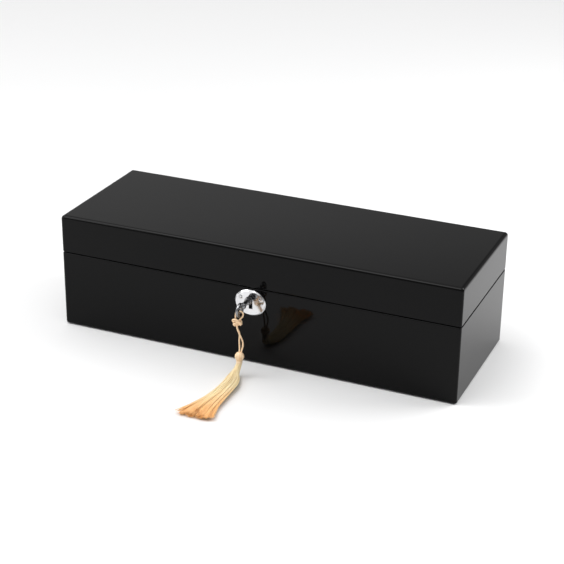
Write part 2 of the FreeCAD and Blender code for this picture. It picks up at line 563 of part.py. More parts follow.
# click: pivots on the bridge and drops into the wheel
CP = (XB + 9.0 * math.cos(math.radians(70)), YB + 9.0 * math.sin(math.radians(70)))
t1a, t2a = math.radians(119.0), math.radians(111.0)
tip1 = (XB + 4.72 * math.cos(t1a), YB + 4.72 * math.sin(t1a))
tip2 = (XB + 5.02 * math.cos(t2a), YB + 5.02 * math.sin(t2a))
out1 = (XB + 6.4 * math.cos(t1a), YB + 6.4 * math.sin(t1a))
dx, dy = CP[0] - (XB + 5.7 * math.cos(t1a)), CP[1] - (YB + 5.7 * math.sin(t1a))
L = math.hypot(dx, dy)
nx, ny = -dy / L, dx / L
click = prism([
    (tip1[0], tip1[1], 45.0), (tip2[0], tip2[1], 45.0),
    (CP[0] - nx * 1.1, CP[1] - ny * 1.1, 45.0), (CP[0] + nx * 1.1, CP[1] + ny * 1.1, 45.0),
    (out1[0], out1[1], 45.0)], (0, 0, 1.4))
click = click.fuse(cyl(1.7, (CP[0], CP[1], 45.0), (0, 0, 1), 1.4)).removeSplitter()
click = click.cut(cyl(0.85, (CP[0], CP[1], 44), (0, 0, 1), 4))
click_post = cyl(0.8, (CP[0], CP[1], 44.4), (0, 0, 1), 2.1).fuse(cyl(1.3, (CP[0], CP[1], 46.5), (0, 0, 1), 0.5))
br = br.fuse(cyl(1.7, (CP[0], CP[1], 44.4), (0, 0, 1), 0.5)).fuse(click_post).removeSplitter()

wk = cyl(3.5, (XB, YB, 7.0), (0, 0, 1), 9.0)
wing = box(XB - 12.5, XB + 12.5, YB - 1.0, YB + 1.0, 2.2, 11.0)
we = [e for e in wing.Edges if abs(e.Vertexes[0].Point.y - e.Vertexes[1].Point.y) > 1]
wing = wing.makeFillet(3.9, we)
for s in (-1, 1):
    wing = wing.cut(cyl(2.2, (XB + s * 8.2, YB - 3, 6.6), (0, 1, 0), 6))
wk = wk.fuse(wing).fuse(Part.makeCone(2.2, 3.5, 2.0, V(XB, YB, 5.0), V(0, 0, 1)))
wk = wk.cut(cyl(2.0, (XB, YB, 6.0), (0, 0, 1), 12)).removeSplitter()

barrel = cyl(12.0, (XB, YB, 24.3), (0, 0, 1), 9.9)
barrel = barrel.cut(cyl(11.2, (XB, YB, 24.0), (0, 0, 1), 9.3))
barrel = barrel.fuse(cyl(12.0, (XB, YB, 34.1), (0, 0, 1), 1.15).cut(cyl(9.9, (XB, YB, 34.2), (0, 0, 1), 2)))
barrel = barrel.cut(cyl(2.3, (XB, YB, 20), (0, 0, 1), 30))
tooth_t, ta = 0.66, math.tan(math.radians(20))
ad, de = 0.5, CROWN_PITCH_Z - 35.25
for k in range(CROWN_N):
    hb, ht = tooth_t / 2 + de * ta, tooth_t / 2 - ad * ta
    z0, z1 = CROWN_PITCH_Z - de - 0.05, CROWN_PITCH_Z + ad
    r0 = 10.05
    t = prism([(r0, -hb, z0), (r0, hb, z0), (r0, ht, z1), (r0, -ht, z1)], (11.55 - r0, 0, 0))
    t.rotate(V(0, 0, 0), V(0, 0, 1), 360.0 * k / CROWN_N)
    t.translate(V(XB, YB, 0))
    barrel = barrel.fuse(t)
barrel = barrel.removeSplitter()
cover = cyl(11.2, (XB, YB, 24.3), (0, 0, 1), 0.8).cut(cyl(2.3, (XB, YB, 20), (0, 0, 1), 30))


def spiral(r_in, r_out, th, z0, z1, turns):
    """Flat spring: half-circle arcs whose centres alternate, so the coil grows evenly."""
    n = int(turns * 2)
    step = (r_out - r_in) / n
    inner, outer = [], []
    for off, store in ((-th / 2, inner), (th / 2, outer)):
        x = r_in
        side = 1
        for i in range(n):
            r = r_in + step * (i + 0.5)
            cx = side * (-step / 2)
            a = V(XB + cx + side * (r + off), YB, z0)
            b = V(XB + cx, YB + side * (r + off), z0)
            c = V(XB + cx - side * (r + off), YB, z0)
            store.append((a, b, c))
            side = -side
    e = [Part.Arc(*t).toShape() for t in outer]
    e.append(Part.LineSegment(outer[-1][2], inner[-1][2]).toShape())
    e += [Part.Arc(t[2], t[1], t[0]).toShape() for t in reversed(inner)]
    e.append(Part.LineSegment(inner[0][0], outer[0][0]).toShape())
    return Part.Face(Part.Wire(Part.__sortEdges__(e))).extrude(V(0, 0, z1 - z0))


spring = spiral(2.9, 10.7, 0.35, 25.6, 32.8, 6)
# hooks: the outer end on the barrel's wall, the inner end beside the arbor
hook = box(XB + 10.3, XB + 12.0, YB - 0.4, YB + 0.4, 25.6, 32.8).common(cyl(11.2, (XB, YB, 20), (0, 0, 1), 20))
eye = box(XB + 2.0, XB + 3.0, YB - 0.5, YB + 0.5, 25.6, 32.8).cut(cyl(2.06, (XB, YB, 20), (0, 0, 1), 20))
spring = spring.fuse(hook).fuse(eye).removeSplitter()

# --------------------------------------------------------- movement: cylinder
def gear_points(n, m, phase, cx, cy, thin=0.0, add=1.0, ded=1.2):
    """Involute-like outline, phase = direction of a tooth centre in radians."""
    rp = n * m / 2.0
    ra, rf = rp + add * m, rp - ded * m
    pa = math.radians(20)
    rb = rp * math.cos(pa)
    half = math.pi / (2 * n) - thin / (2 * rp)
    inv = math.tan(pa) - pa

    def flank(r):
        if r <= rb:
            return half + inv
        al = math.acos(rb / r)
        return half + inv - (math.tan(al) - al)

    pts = []
    rs = [rf, max(rf, rb)] + [max(rf, rb) + (ra - max(rf, rb)) * i / 4.0 for i in range(1, 5)]
    for k in range(n):
        c = phase + 2 * math.pi * k / n
        left = [(r, c - flank(r)) for r in rs]
        right = [(r, c + flank(r)) for r in reversed(rs)]
        for r, a in left + right:
            p = (cx + r * math.cos(a), cy + r * math.sin(a))
            if not pts or math.hypot(p[0] - pts[-1][0], p[1] - pts[-1][1]) > 1e-5:
                pts.append(p)
    return pts


def gear_x(n, m, phase, y, z, x0, x1, **kw):
    """Spur gear on an axis along X; phase measured from +Y towards +Z."""
    return prism([(x0, p[0], p[1]) for p in gear_points(n, m, phase, y, z, **kw)], (x1 - x0, 0, 0))


c_gear = gear_x(GEAR_N, GEAR_M, math.radians(-90 + 180.0 / GEAR_N), YB, ZC, -122.85, -121.55, thin=0.1, add=0.85, ded=1.2)
c_wheel = gear_x(WHEEL_N, TRAIN_M, ga, YB, ZC, -99.4, -98.2, thin=0.06, add=0.9, ded=1.3)
c_arbor = cyl(1.0, (-130.6, YB, ZC), (1, 0, 0), 130.6 - 92.2)
c_arbor = c_arbor.fuse(cyl(1.9, (-125.9, YB, ZC), (1, 0, 0), 6.1)).fuse(cyl(1.9, (-100.3, YB, ZC), (1, 0, 0), 0.9)).fuse(cyl(1.9, (-98.2, YB, ZC), (1, 0, 0), 2.0))
c_arbor = c_arbor.fuse(c_gear).fuse(c_wheel).removeSplitter()
drum = cyl(CYL_R, (CYL_X0, YB, ZC), (1, 0, 0), CYL_X1 - CYL_X0).cut(cyl(1.0, (CYL_X0 - 1, YB, ZC), (1, 0, 0), 30))
pins_c = []
seed = 7
for i in range(COMB_TEETH):
    x = COMB_X0 + 0.5 + i * COMB_PITCH
    k = 0
    a = (i * 47) % 360
    for j in range(5):
        seed = (seed * 1103515245 + 12345) % 2147483648
        a += 40 + seed % 50
        # small square pin standing on the drum, foot let 0.05 into a flat
        p = box(-0.18, 0.18, -0.18, 0.18, CYL_R - 0.02, CYL_R + 0.75)
        p.rotate(V(0, 0, 0), V(1, 0, 0), a)
        p.translate(V(x, YB, ZC))
        pins_c.append(p.cut(cyl(CYL_R, (CYL_X0, YB, ZC), (1, 0, 0), CYL_X1 - CYL_X0)))

# -------------------------------------------------------- movement: governor
g_pin = gear_x(PINION_N, TRAIN_M, ga + math.pi + math.pi / PINION_N, GY, GZ, -99.9, -97.7, thin=0.06, add=0.8, ded=1.2)
ww = gear_x(WW_N, TRAIN_M, 0.0, GY, GZ, -96.8, -95.6, thin=0.1, add=0.87, ded=1.2)
g_arbor = cyl(0.6, (-102.1, GY, GZ), (1, 0, 0), 102.1 - 92.7).fuse(g_pin).fuse(ww).fuse(cyl(1.2, (-97.8, GY, GZ), (1, 0, 0), 1.2)).removeSplitter()
worm = cyl(0.5, (WORM_X, WORM_Y, BED_Z1 + 0.7), (0, 0, 1), 46.55 - BED_Z1 - 0.7)
worm = worm.fuse(cyl(1.6, (WORM_X, WORM_Y, 31.0), (0, 0, 1), 9.6)).fuse(cyl(0.9, (WORM_X, WORM_Y, 25.2), (0, 0, 1), 6.0)).removeSplitter()
fan = cyl(1.1, (WORM_X, WORM_Y, 42.5), (0, 0, 1), 3.6)
fan = fan.fuse(box(WORM_X - 5.2, WORM_X + 5.2, WORM_Y - 0.2, WORM_Y + 0.2, 42.6, 45.8))
fan = fan.fuse(cyl(3.0, (WORM_X, WORM_Y, 46.1), (0, 0, 1), 0.5)).cut(cyl(0.5, (WORM_X, WORM_Y, 40), (0, 0, 1), 10)).removeSplitter()

# stop wire: the lid's rail pushes its top end down, its foot then rests on the fan's disc
SWX, SWY = -155.5, WORM_Y
sw_r = 0.8
stop = cyl(1.0, (SWX, SWY, 49.0), (0, 0, 1), RIM_LID - 0.06 - 49.0)
stop = stop.fuse(Part.makeSphere(1.0, V(SWX, SWY, 49.0)))
stop = stop.fuse(cyl(sw_r, (SWX, SWY, 49.0), (1, 0, 0), WORM_X - 1.0 - SWX))
stop = stop.fuse(Part.makeSphere(sw_r, V(WORM_X - 1.0, SWY, 49.0)))
stop = stop.fuse(cyl(sw_r, (WORM_X - 1.0, SWY, 46.68), (0, 0, 1), 49.0 - 46.68))
stop = stop.removeSplitter()
STOP_RISE = 3.0
left = case["left"]
left = left.cut(cyl(1.15, (SWX, SWY, 47.0), (0, 0, 1), 20))
left = left.cut(box(SWX - 1.2, -140, SWY - 1.2, SWY + 1.2, 47.2, 53.4))

# ------------------------------------------------------------------- export
back = case["back"]
for p in hinge_pocket_case:
    back = back.cut(p)
back = back.cut(case_screws_all)
lid_back = lid["back"]
for p in hinge_pocket_lid:
    lid_back = lid_back.cut(p)
lid_back = lid_back.cut(lid_screws_all)
lid_front = lid["front"].cut(box(-26, 26, LOCK_Y0, LOCK_Y1, RIM_LID - 1, RIM_LID + 1.2)).cut(lid_screws_all)

save("case_front_panel", front)
save("case_back_panel", back)
save("case_left_panel", left)
save("case_right_panel", case["right"])
save("case_bottom_panel", bottom)
save("base_felt", felt)
save("bay_partition", partition)
save("movement_deck", deck)
save("key_well_tube", well)
save("bay_cleats", cleats)
save("movement_window", window)
save("tray_dividers", dividers)
save("tray_linings", linings)
save("ring_riser", riser)
save("ring_rolls", rolls)
save("lock_escutcheon", esc)
save("escutcheon_screws", esc_screws)
save("lock_case", lock_case)
save("lock_cover", lock_cover)
save("lock_pin", lock_pin)
save("lock_bolt", bolt)
save("lock_key", key)
save("case_rim_screws", case_screw_list)
save("lid_rim_screws", lid_screw_list)
save("hinge_case_leaves", case_leaves)
save("hinge_lid_leaves", lid_leaves)
save("hinge_pins", pins)
save("lid_top_panel", lid_top)
save("lid_front_rail", lid_front)
save("lid_back_rail", lid_back)
save("lid_left_rail", lid["left"])
save("lid_right_rail", lid["right"])
save("lid_lining_frame", frame)
save("lid_mirror", mirror)
save("strike_plate", strike)
save("tassel_cord", [strand_l, strand_r])
save("tassel_knot", knot)
save("tassel_head", head)
save("tassel_skirt", skirt)
save("movement_bedplate", bed)
save("movement_screws", mv_screws)
save("bedplate_screws", [b for a, b in scr])
save("barrel_bridge", br)
save("governor_frame", gf)
save("music_comb", comb)
save("winding_arbor", arbor)
save("ratchet_wheel", ratchet)
save("ratchet_click", click)
save("winding_key", wk)
save("spring_barrel", barrel)
save("barrel_cover", cover)
save("mainspring", spring)
save("music_cylinder", drum)
save("cylinder_pins", pins_c)
save("cylinder_arbor", c_arbor)
save("governor_arbor", g_arbor)
save("governor_worm", worm)
save("governor_fan", fan)
save("stop_wire", stop)
print(len(NODES), "nodes")
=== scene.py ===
import json
import math
import random

import bpy
import bmesh
import numpy as np
from mathutils import Matrix, Vector, noise as mnoise


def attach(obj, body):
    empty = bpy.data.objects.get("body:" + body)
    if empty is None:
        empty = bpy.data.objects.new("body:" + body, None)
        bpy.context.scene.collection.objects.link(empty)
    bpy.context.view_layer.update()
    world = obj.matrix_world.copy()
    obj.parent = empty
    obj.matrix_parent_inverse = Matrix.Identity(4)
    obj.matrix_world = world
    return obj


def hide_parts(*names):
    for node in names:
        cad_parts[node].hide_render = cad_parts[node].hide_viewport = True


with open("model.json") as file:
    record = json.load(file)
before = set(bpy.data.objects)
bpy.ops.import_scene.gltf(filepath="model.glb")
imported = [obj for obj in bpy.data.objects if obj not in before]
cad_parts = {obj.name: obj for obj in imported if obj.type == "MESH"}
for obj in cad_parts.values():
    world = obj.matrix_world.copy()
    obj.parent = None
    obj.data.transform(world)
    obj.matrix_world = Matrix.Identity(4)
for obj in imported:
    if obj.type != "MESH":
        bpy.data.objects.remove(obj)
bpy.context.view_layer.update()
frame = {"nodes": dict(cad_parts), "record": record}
NODES = frame["nodes"]
BODY_OF = {n: b for b, names in frame["record"]["behaviour"]["bodies"].items() for n in names}
MM = 0.001
rng = random.Random(4)


# =============================================================== node helpers
class Mat:
    """One procedural material. Coordinates are the row frame's, in metres."""

    def __init__(self, name):
        self.m = bpy.data.materials.new(name)
        self.m.use_nodes = True
        self.nt = self.m.node_tree
        self.nt.nodes.clear()
        self.out = self.nt.nodes.new("ShaderNodeOutputMaterial")
        self.b = self.nt.nodes.new("ShaderNodeBsdfPrincipled")
        self.nt.links.new(self.b.outputs[0], self.out.inputs[0])
        self.co = self.nt.nodes.new("ShaderNodeTexCoord").outputs["Object"]

    def set(self, **kw):
        for k, v in kw.items():
            self.b.inputs[k.replace("_", " ")].default_value = v
        return self

    def link(self, out, name):
        self.nt.links.new(out, self.b.inputs[name])

    def node(self, kind, **props):
        n = self.nt.nodes.new(kind)
        for k, v in props.items():
            setattr(n, k, v)
        return n

    def put(self, sock, v):
        if isinstance(v, bpy.types.NodeSocket):
            self.nt.links.new(v, sock)
        else:
            sock.default_value = v

    def coords(self, scale=(1, 1, 1), rot=(0, 0, 0), vec=None):
        n = self.node("ShaderNodeMapping")
        self.put(n.inputs["Vector"], vec or self.co)
        n.inputs["Scale"].default_value = scale
        n.inputs["Rotation"].default_value = rot
        return n.outputs[0]

    def noise(self, scale, detail=4.0, rough=0.55, vec=None, dist=0.0):
        n = self.node("ShaderNodeTexNoise")
        self.put(n.inputs["Vector"], vec or self.co)
        n.inputs["Scale"].default_value = scale
        n.inputs["Detail"].default_value = detail
        n.inputs["Roughness"].default_value = rough
        n.inputs["Distortion"].default_value = dist
        return n.outputs[0]

    def voronoi(self, scale, vec=None, feature="F1", rnd=1.0, out="Distance"):
        n = self.node("ShaderNodeTexVoronoi", feature=feature)
        self.put(n.inputs["Vector"], vec or self.co)
        n.inputs["Scale"].default_value = scale
        n.inputs["Randomness"].default_value = rnd
        return n.outputs[out]

    def wave(self, scale, vec=None, dist=0.0, detail=2.0, kind="BANDS", axis="X", profile="SIN"):
        n = self.node("ShaderNodeTexWave", wave_type=kind, wave_profile=profile)
        if kind == "BANDS":
            n.bands_direction = axis
        else:
            n.rings_direction = axis
        self.put(n.inputs["Vector"], vec or self.co)
        n.inputs["Scale"].default_value = scale
        n.inputs["Distortion"].default_value = dist
        n.inputs["Detail"].default_value = detail
        return n.outputs[1]

    def rng(self, v, a, b, c, d):
        n = self.node("ShaderNodeMapRange")
        self.put(n.inputs["Value"], v)
        for k, x in zip(("From Min", "From Max", "To Min", "To Max"), (a, b, c, d)):
            n.inputs[k].default_value = x
        return n.outputs[0]

    def math(self, op, a, b=0.0):
        n = self.node("ShaderNodeMath", operation=op)
        self.put(n.inputs[0], a)
        self.put(n.inputs[1], b)
        return n.outputs[0]

    def ramp(self, v, *stops):
        n = self.node("ShaderNodeValToRGB")
        self.put(n.inputs[0], v)
        e = n.color_ramp.elements
        while len(e) < len(stops):
            e.new(0.5)
        for s, (p, c) in zip(e, stops):
            s.position = p
            s.color = tuple(c) + (1,)
        return n.outputs[0]

    def mix(self, f, a, b, blend="MIX"):
        n = self.node("ShaderNodeMix", data_type="RGBA", blend_type=blend)
        self.put(n.inputs[0], f)
        self.put(n.inputs[6], a if isinstance(a, bpy.types.NodeSocket) else tuple(a) + (1,))
        self.put(n.inputs[7], b if isinstance(b, bpy.types.NodeSocket) else tuple(b) + (1,))
        return n.outputs[2]

    def bump(self, h, strength, dist, normal=None):
        n = self.node("ShaderNodeBump")
        self.put(n.inputs["Height"], h)
        n.inputs["Strength"].default_value = strength
        n.inputs["Distance"].default_value = dist
        if normal is not None:
            self.nt.links.new(normal, n.inputs["Normal"])
        return n.outputs[0]

    def pos(self):
        n = self.node("ShaderNodeSeparateXYZ")
        self.put(n.inputs[0], self.co)
        return n.outputs

    def attr(self, name):
        n = self.node("ShaderNodeAttribute", attribute_name=name)
        return n.outputs["Fac"]


# ================================================================== materials
def lacquer():
    k = Mat("black_lacquer")
    cloud = k.noise(9, 3)
    fine = k.noise(2600, 2, 0.5)
    k.link(k.ramp(cloud, (0.35, (0.0006, 0.0006, 0.0007)), (0.7, (0.0013, 0.0012, 0.0013))), "Base Color")
    smear = k.noise(26, 5, 0.6, k.coords((1, 3.2, 1), (0, 0, 0.5)), 0.6)
    specks = k.rng(k.voronoi(900), 0.0, 0.05, 0.12, 0.0)
    r = k.math("ADD", k.rng(smear, 0.35, 0.8, 0.028, 0.062), k.rng(fine, 0.3, 0.7, 0.0, 0.012))
    k.link(k.math("ADD", r, specks), "Roughness")
    peel = k.noise(240, 2, 0.4)
    wave = k.noise(22, 1, 0.3)
    n = k.bump(peel, 0.05, 0.00008)
    n = k.bump(wave, 0.05, 0.0006, n)
    k.link(n, "Normal")
    k.set(IOR=1.23)
    return k.m


def metal(name, dark, light, rough, scratch=(1, 1, 1), scratch_scale=900.0, bump=0.12, blotch=60.0, stain=None, hammered=0.0):
    k = Mat(name)
    streak = k.noise(scratch_scale, 5, 0.62, k.coords(scratch))
    patch = k.noise(blotch, 4, 0.6)
    col = k.ramp(patch, (0.3, dark), (0.72, light))
    if stain:
        m = k.rng(k.noise(blotch * 2.3, 6, 0.7, dist=0.8), 0.56, 0.80, 0.0, 0.42)
        col = k.mix(m, col, stain)
    col = k.mix(k.rng(streak, 0.3, 0.7, 0.0, 0.18), col, tuple(c * 0.55 for c in light))
    k.link(col, "Base Color")
    k.link(k.math("ADD", k.rng(streak, 0.3, 0.72, rough[0], rough[1]), k.rng(patch, 0.4, 0.8, 0.0, 0.05)), "Roughness")
    n = k.bump(streak, bump, 0.00004)
    if hammered:
        n = k.bump(k.noise(700, 3, 0.5), hammered, 0.00012, n)
    k.link(n, "Normal")
    k.set(Metallic=1.0)
    return k.m


def board():
    k = Mat("sanded_board")
    v = k.coords((1.2, 14, 14))
    grain = k.noise(42, 6, 0.62, v, 0.7)
    fine = k.noise(900, 3, 0.6, k.coords((0.12, 1, 1)))
    col = k.ramp(grain, (0.25, (0.20, 0.115, 0.055)), (0.48, (0.42, 0.27, 0.145)), (0.8, (0.60, 0.43, 0.26)))
    z = k.pos()[2]
    ply = k.wave(160, k.coords((0, 0, 1)), 0.6, 1, "BANDS", "Z")
    col = k.mix(k.rng(ply, 0.2, 0.9, 0.0, 0.22), col, (0.27, 0.16, 0.08))
    col = k.mix(k.rng(fine, 0.45, 0.75, 0.0, 0.35), col, (0.17, 0.10, 0.055))
    k.link(col, "Base Color")
    k.link(k.rng(fine, 0.3, 0.7, 0.52, 0.74), "Roughness")
    k.link(k.bump(fine, 0.35, 0.00012, k.bump(grain, 0.2, 0.0002)), "Normal")
    return k.m


def velvet(name, deep, lit, sheen):
    k = Mat(name)
    pile = k.noise(5200, 2, 0.6)
    stroke = k.noise(48, 4, 0.55, k.coords((1, 1.6, 1), (0, 0, 0.35)), 1.2)
    tuft = k.voronoi(2300)
    col = k.ramp(stroke, (0.32, deep), (0.70, lit))
    col = k.mix(k.rng(pile, 0.3, 0.75, 0.0, 0.55), col, tuple(c * 0.35 for c in deep))
    k.link(col, "Base Color")
    k.link(k.rng(stroke, 0.3, 0.7, 0.82, 0.95), "Roughness")
    h = k.math("ADD", pile, k.math("MULTIPLY", tuft, 0.6))
    k.link(k.bump(h, 0.6, 0.0003, k.bump(stroke, 0.25, 0.0006)), "Normal")
    k.set(Sheen_Weight=0.85, Sheen_Roughness=0.35, Sheen_Tint=sheen + (1,), Specular_IOR_Level=0.15)
    return k.m


def felt():
    k = Mat("pressed_felt")
    fib = k.noise(1500, 6, 0.7, k.coords((1, 0.35, 1), (0, 0, 0.6)), 1.5)
    fib2 = k.noise(1500, 6, 0.7, k.coords((0.35, 1, 1), (0, 0, -0.5)), 1.5)
    h = k.math("ADD", fib, fib2)
    cloud = k.noise(60, 3)
    col = k.ramp(h, (0.55, (0.008, 0.009, 0.010)), (1.0, (0.045, 0.047, 0.05)))
    col = k.mix(k.rng(cloud, 0.4, 0.7, 0.0, 0.3), col, (0.02, 0.022, 0.026))
    k.link(col, "Base Color")
    k.link(k.rng(cloud, 0.3, 0.7, 0.88, 0.98), "Roughness")
    k.link(k.bump(h, 0.7, 0.0003), "Normal")
    k.set(Sheen_Weight=0.35, Sheen_Roughness=0.5, Sheen_Tint=(0.5, 0.5, 0.52, 1), Specular_IOR_Level=0.1)
    return k.m


def acrylic():
    k = Mat("clear_acrylic")
    scuff = k.noise(300, 6, 0.7, k.coords((1, 6, 1), (0, 0, 0.4)))
    k.link(k.ramp(k.noise(30), (0.3, (0.94, 0.97, 0.97)), (0.7, (0.98, 0.99, 0.99))), "Base Color")
    k.link(k.rng(scuff, 0.5, 0.8, 0.01, 0.07), "Roughness")
    k.link(k.bump(k.noise(40, 2), 0.03, 0.0004), "Normal")
    k.set(IOR=1.49, Transmission_Weight=1.0)
    return k.m


def mirror():
    k = Mat("silvered_glass")
    edge = k.noise(160, 6, 0.7)
    k.link(k.ramp(edge, (0.2, (0.86, 0.885, 0.88)), (0.9, (0.93, 0.94, 0.94))), "Base Color")
    k.link(k.rng(k.noise(90, 5, 0.65, k.coords((1, 4, 1))), 0.45, 0.85, 0.004, 0.03), "Roughness")
    k.link(k.bump(k.noise(9, 1), 0.02, 0.0006), "Normal")
    k.set(Metallic=1.0)
    return k.m


def silk(name, light, deep, shade, ends=False):
    """Rayon thread: each thread's tone varies at random between light and deep; with ends, the shade colour is mixed in
    towards the cut ends, sooner on the skirt's right side as painted shade and later on its left as painted light.
    """
    k = Mat(name)
    tint = k.attr("tint")
    along = k.attr("along")
    fine = k.noise(3800, 3, 0.6)
    col = k.mix(k.rng(tint, 0.0, 1.0, 0.0, 1.0), light, deep)
    if ends:
        # Shade colour mixed in towards the cut ends; the along attribute also carries painted shade on the skirt's
        # right side and painted light on its left.
        col = k.mix(k.rng(along, 0.55, 1.0, 0.0, 0.72), col, shade)
    col = k.mix(k.rng(fine, 0.35, 0.75, 0.0, 0.10), col, tuple(c * 0.75 for c in deep))
    k.link(col, "Base Color")
    k.link(k.rng(tint, 0.0, 1.0, 0.36, 0.52), "Roughness")
    k.link(k.bump(fine, 0.25, 0.00005), "Normal")
    k.set(Sheen_Weight=0.22, Sheen_Roughness=0.3, Sheen_Tint=(1.0, 0.86, 0.68, 1), Subsurface_Weight=0.0, Specular_IOR_Level=0.45)
    return k.m


M_LACQUER = lacquer()
M_CHROME = metal("polished_chrome", (0.70, 0.70, 0.715), (0.82, 0.82, 0.825), (0.07, 0.14), (1, 1, 5), 700, 0.03, 90)


def key_metal():
    """Nickelled key: the barrel polished by the lock, the bow dull from handling; its colour is darkened well below
    nickel as painted shade for the black case it reflects.
    """
    k = Mat("nickelled_key")
    y = k.pos()[1]
    handled = k.rng(y, -0.0655, -0.0715, 0.0, 1.0)
    patch = k.noise(160, 4, 0.6)
    # Both tones sit far below nickel: painted shade for the dark case the key reflects.
    bright = k.ramp(patch, (0.3, (0.27, 0.27, 0.275)), (0.72, (0.36, 0.36, 0.365)))
    dull = k.ramp(patch, (0.3, (0.24, 0.242, 0.25)), (0.72, (0.34, 0.344, 0.355)))
    col = k.mix(handled, bright, dull)
    streak = k.noise(600, 5, 0.62, k.coords((3, 1, 1)))
    col = k.mix(k.rng(streak, 0.35, 0.7, 0.0, 0.16), col, (0.10, 0.10, 0.105))
    k.link(col, "Base Color")
    k.link(k.math("ADD", k.rng(streak, 0.3, 0.72, 0.16, 0.27), k.rng(handled, 0.0, 1.0, 0.06, 0.0)), "Roughness")
    k.link(k.bump(streak, 0.04, 0.00004), "Normal")
    k.set(Metallic=1.0)
    return k.m


M_KEY = key_metal()
M_STEEL = metal("satin_steel", (0.34, 0.35, 0.37), (0.55, 0.56, 0.58), (0.22, 0.36), (1, 7, 1), 520, 0.22, 75, (0.25, 0.24, 0.23))
M_STEEL_Z = metal("turned_steel", (0.38, 0.39, 0.41), (0.60, 0.60, 0.62), (0.14, 0.28), (1, 1, 9), 800, 0.2, 160, (0.24, 0.23, 0.22))
M_BED = metal("cast_zinc", (0.30, 0.305, 0.31), (0.47, 0.475, 0.48), (0.30, 0.45), (1, 1, 1), 600, 0.25, 90, (0.22, 0.22, 0.22), 0.35)
M_COMB = metal("ground_steel", (0.42, 0.43, 0.45), (0.64, 0.65, 0.67), (0.12, 0.24), (9, 0.6, 1), 700, 0.3, 120)
M_BLUE = metal("blued_spring_steel", (0.045, 0.060, 0.13), (0.12, 0.13, 0.21), (0.18, 0.32), (1, 1, 8), 700, 0.15, 220, (0.16, 0.09, 0.05))
M_BRASS = metal("satin_brass", (0.64, 0.45, 0.17), (0.78, 0.58, 0.25), (0.16, 0.26), (8, 1, 1), 650, 0.10, 110, (0.42, 0.26, 0.09))
M_BRASS_C = metal("turned_brass", (0.65, 0.46, 0.18), (0.80, 0.60, 0.28), (0.14, 0.24), (9, 0.8, 0.8), 800, 0.12, 140, (0.44, 0.28, 0.11))
M_BRASS_D = metal("pressed_brass", (0.60, 0.41, 0.15), (0.74, 0.53, 0.22), (0.18, 0.28), (1, 1, 1), 520, 0.10, 140, (0.40, 0.25, 0.10), 0.05)
M_BOARD = board()
M_VELVET = velvet("burgundy_velvet", (0.085, 0.004, 0.010), (0.20, 0.010, 0.024), (0.75, 0.20, 0.24))
M_FELT = felt()
M_ACRYLIC = acrylic()
M_MIRROR = mirror()
M_CORD = silk("silk_cord", (1.0, 0.80, 0.56), (0.90, 0.60, 0.34), (0.80, 0.36, 0.12))
M_SKIRT = silk("silk_threads", (1.0, 0.89, 0.61), (1.0, 0.77, 0.42), (1.0, 0.45, 0.10), True)

USE = {
    M_LACQUER: "case_front_panel case_back_panel case_left_panel case_right_panel lid_top_panel lid_front_rail lid_back_rail lid_left_rail lid_right_rail bay_partition",
    M_CHROME: "lock_escutcheon escutcheon_screws",
    M_KEY: "lock_key",
    M_STEEL: "lock_case lock_cover lock_bolt strike_plate",
    M_STEEL_Z: "movement_screws bedplate_screws winding_arbor ratchet_wheel ratchet_click winding_key cylinder_pins stop_wire governor_worm lock_pin",
    M_BED: "movement_bedplate",
    M_COMB: "music_comb",
    M_BLUE: "mainspring",
    M_BRASS: "hinge_case_leaves hinge_lid_leaves barrel_bridge governor_frame governor_fan",
    M_BRASS_C: "music_cylinder cylinder_arbor governor_arbor hinge_pins",
    M_BRASS_D: "case_rim_screws lid_rim_screws spring_barrel barrel_cover",
    M_BOARD: "case_bottom_panel movement_deck key_well_tube bay_cleats",
    M_VELVET: "tray_dividers tray_linings ring_riser ring_rolls lid_lining_frame",
    M_FELT: "base_felt",
    M_ACRYLIC: "movement_window",
    M_MIRROR: "lid_mirror",
    M_CORD: "tassel_cord tassel_knot tassel_head",
    M_SKIRT: "tassel_skirt",
}
for m, names in USE.items():
    for n in names.split():
        o = NODES[n]
        if len(o.data.materials) == 0:
            o.data.materials.append(m)
        for i in range(len(o.data.materials)):
            o.data.materials[i] = m


# ============================================================== mesh helpers
def make(name, verts, faces, mat, body=None, replaces=(), smooth=True, tint=None, along=None, mm=True):
    me = bpy.data.meshes.new(name)
    v = np.asarray(verts, float) * (MM if mm else 1.0)
    me.from_pydata([tuple(p) for p in v], [], [tuple(f) for f in faces])
    for key, data in (("tint", tint), ("along", along)):
        if data is not None:
            a = me.attributes.new(key, "FLOAT", "POINT")
            a.data.foreach_set("value", np.asarray(data, np.float32))
    me.validate()
    if smooth:
        me.polygons.foreach_set("use_smooth", [True] * len(me.polygons))
    me.update()
    o = bpy.data.objects.new(name, me)
    bpy.context.scene.collection.objects.link(o)
    me.materials.append(mat)
    if body:
        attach(o, body)
    if replaces:
        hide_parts(*replaces)
    return o


def frames(path):
    """Tangents and a pair of normals carried along a path without twist."""
    p = np.asarray(path, float)
    t = np.gradient(p, axis=0)
    t /= np.linalg.norm(t, axis=1)[:, None] + 1e-12
    n = np.zeros_like(p)
    a = np.array([1.0, 0, 0]) if abs(t[0][0]) < 0.8 else np.array([0, 0, 1.0])
    v = a - t[0] * a.dot(t[0])
    n[0] = v / np.linalg.norm(v)
    for i in range(1, len(p)):
        v = n[i - 1] - t[i] * n[i - 1].dot(t[i])
        n[i] = v / (np.linalg.norm(v) + 1e-12)
    return t, n, np.cross(t, n)


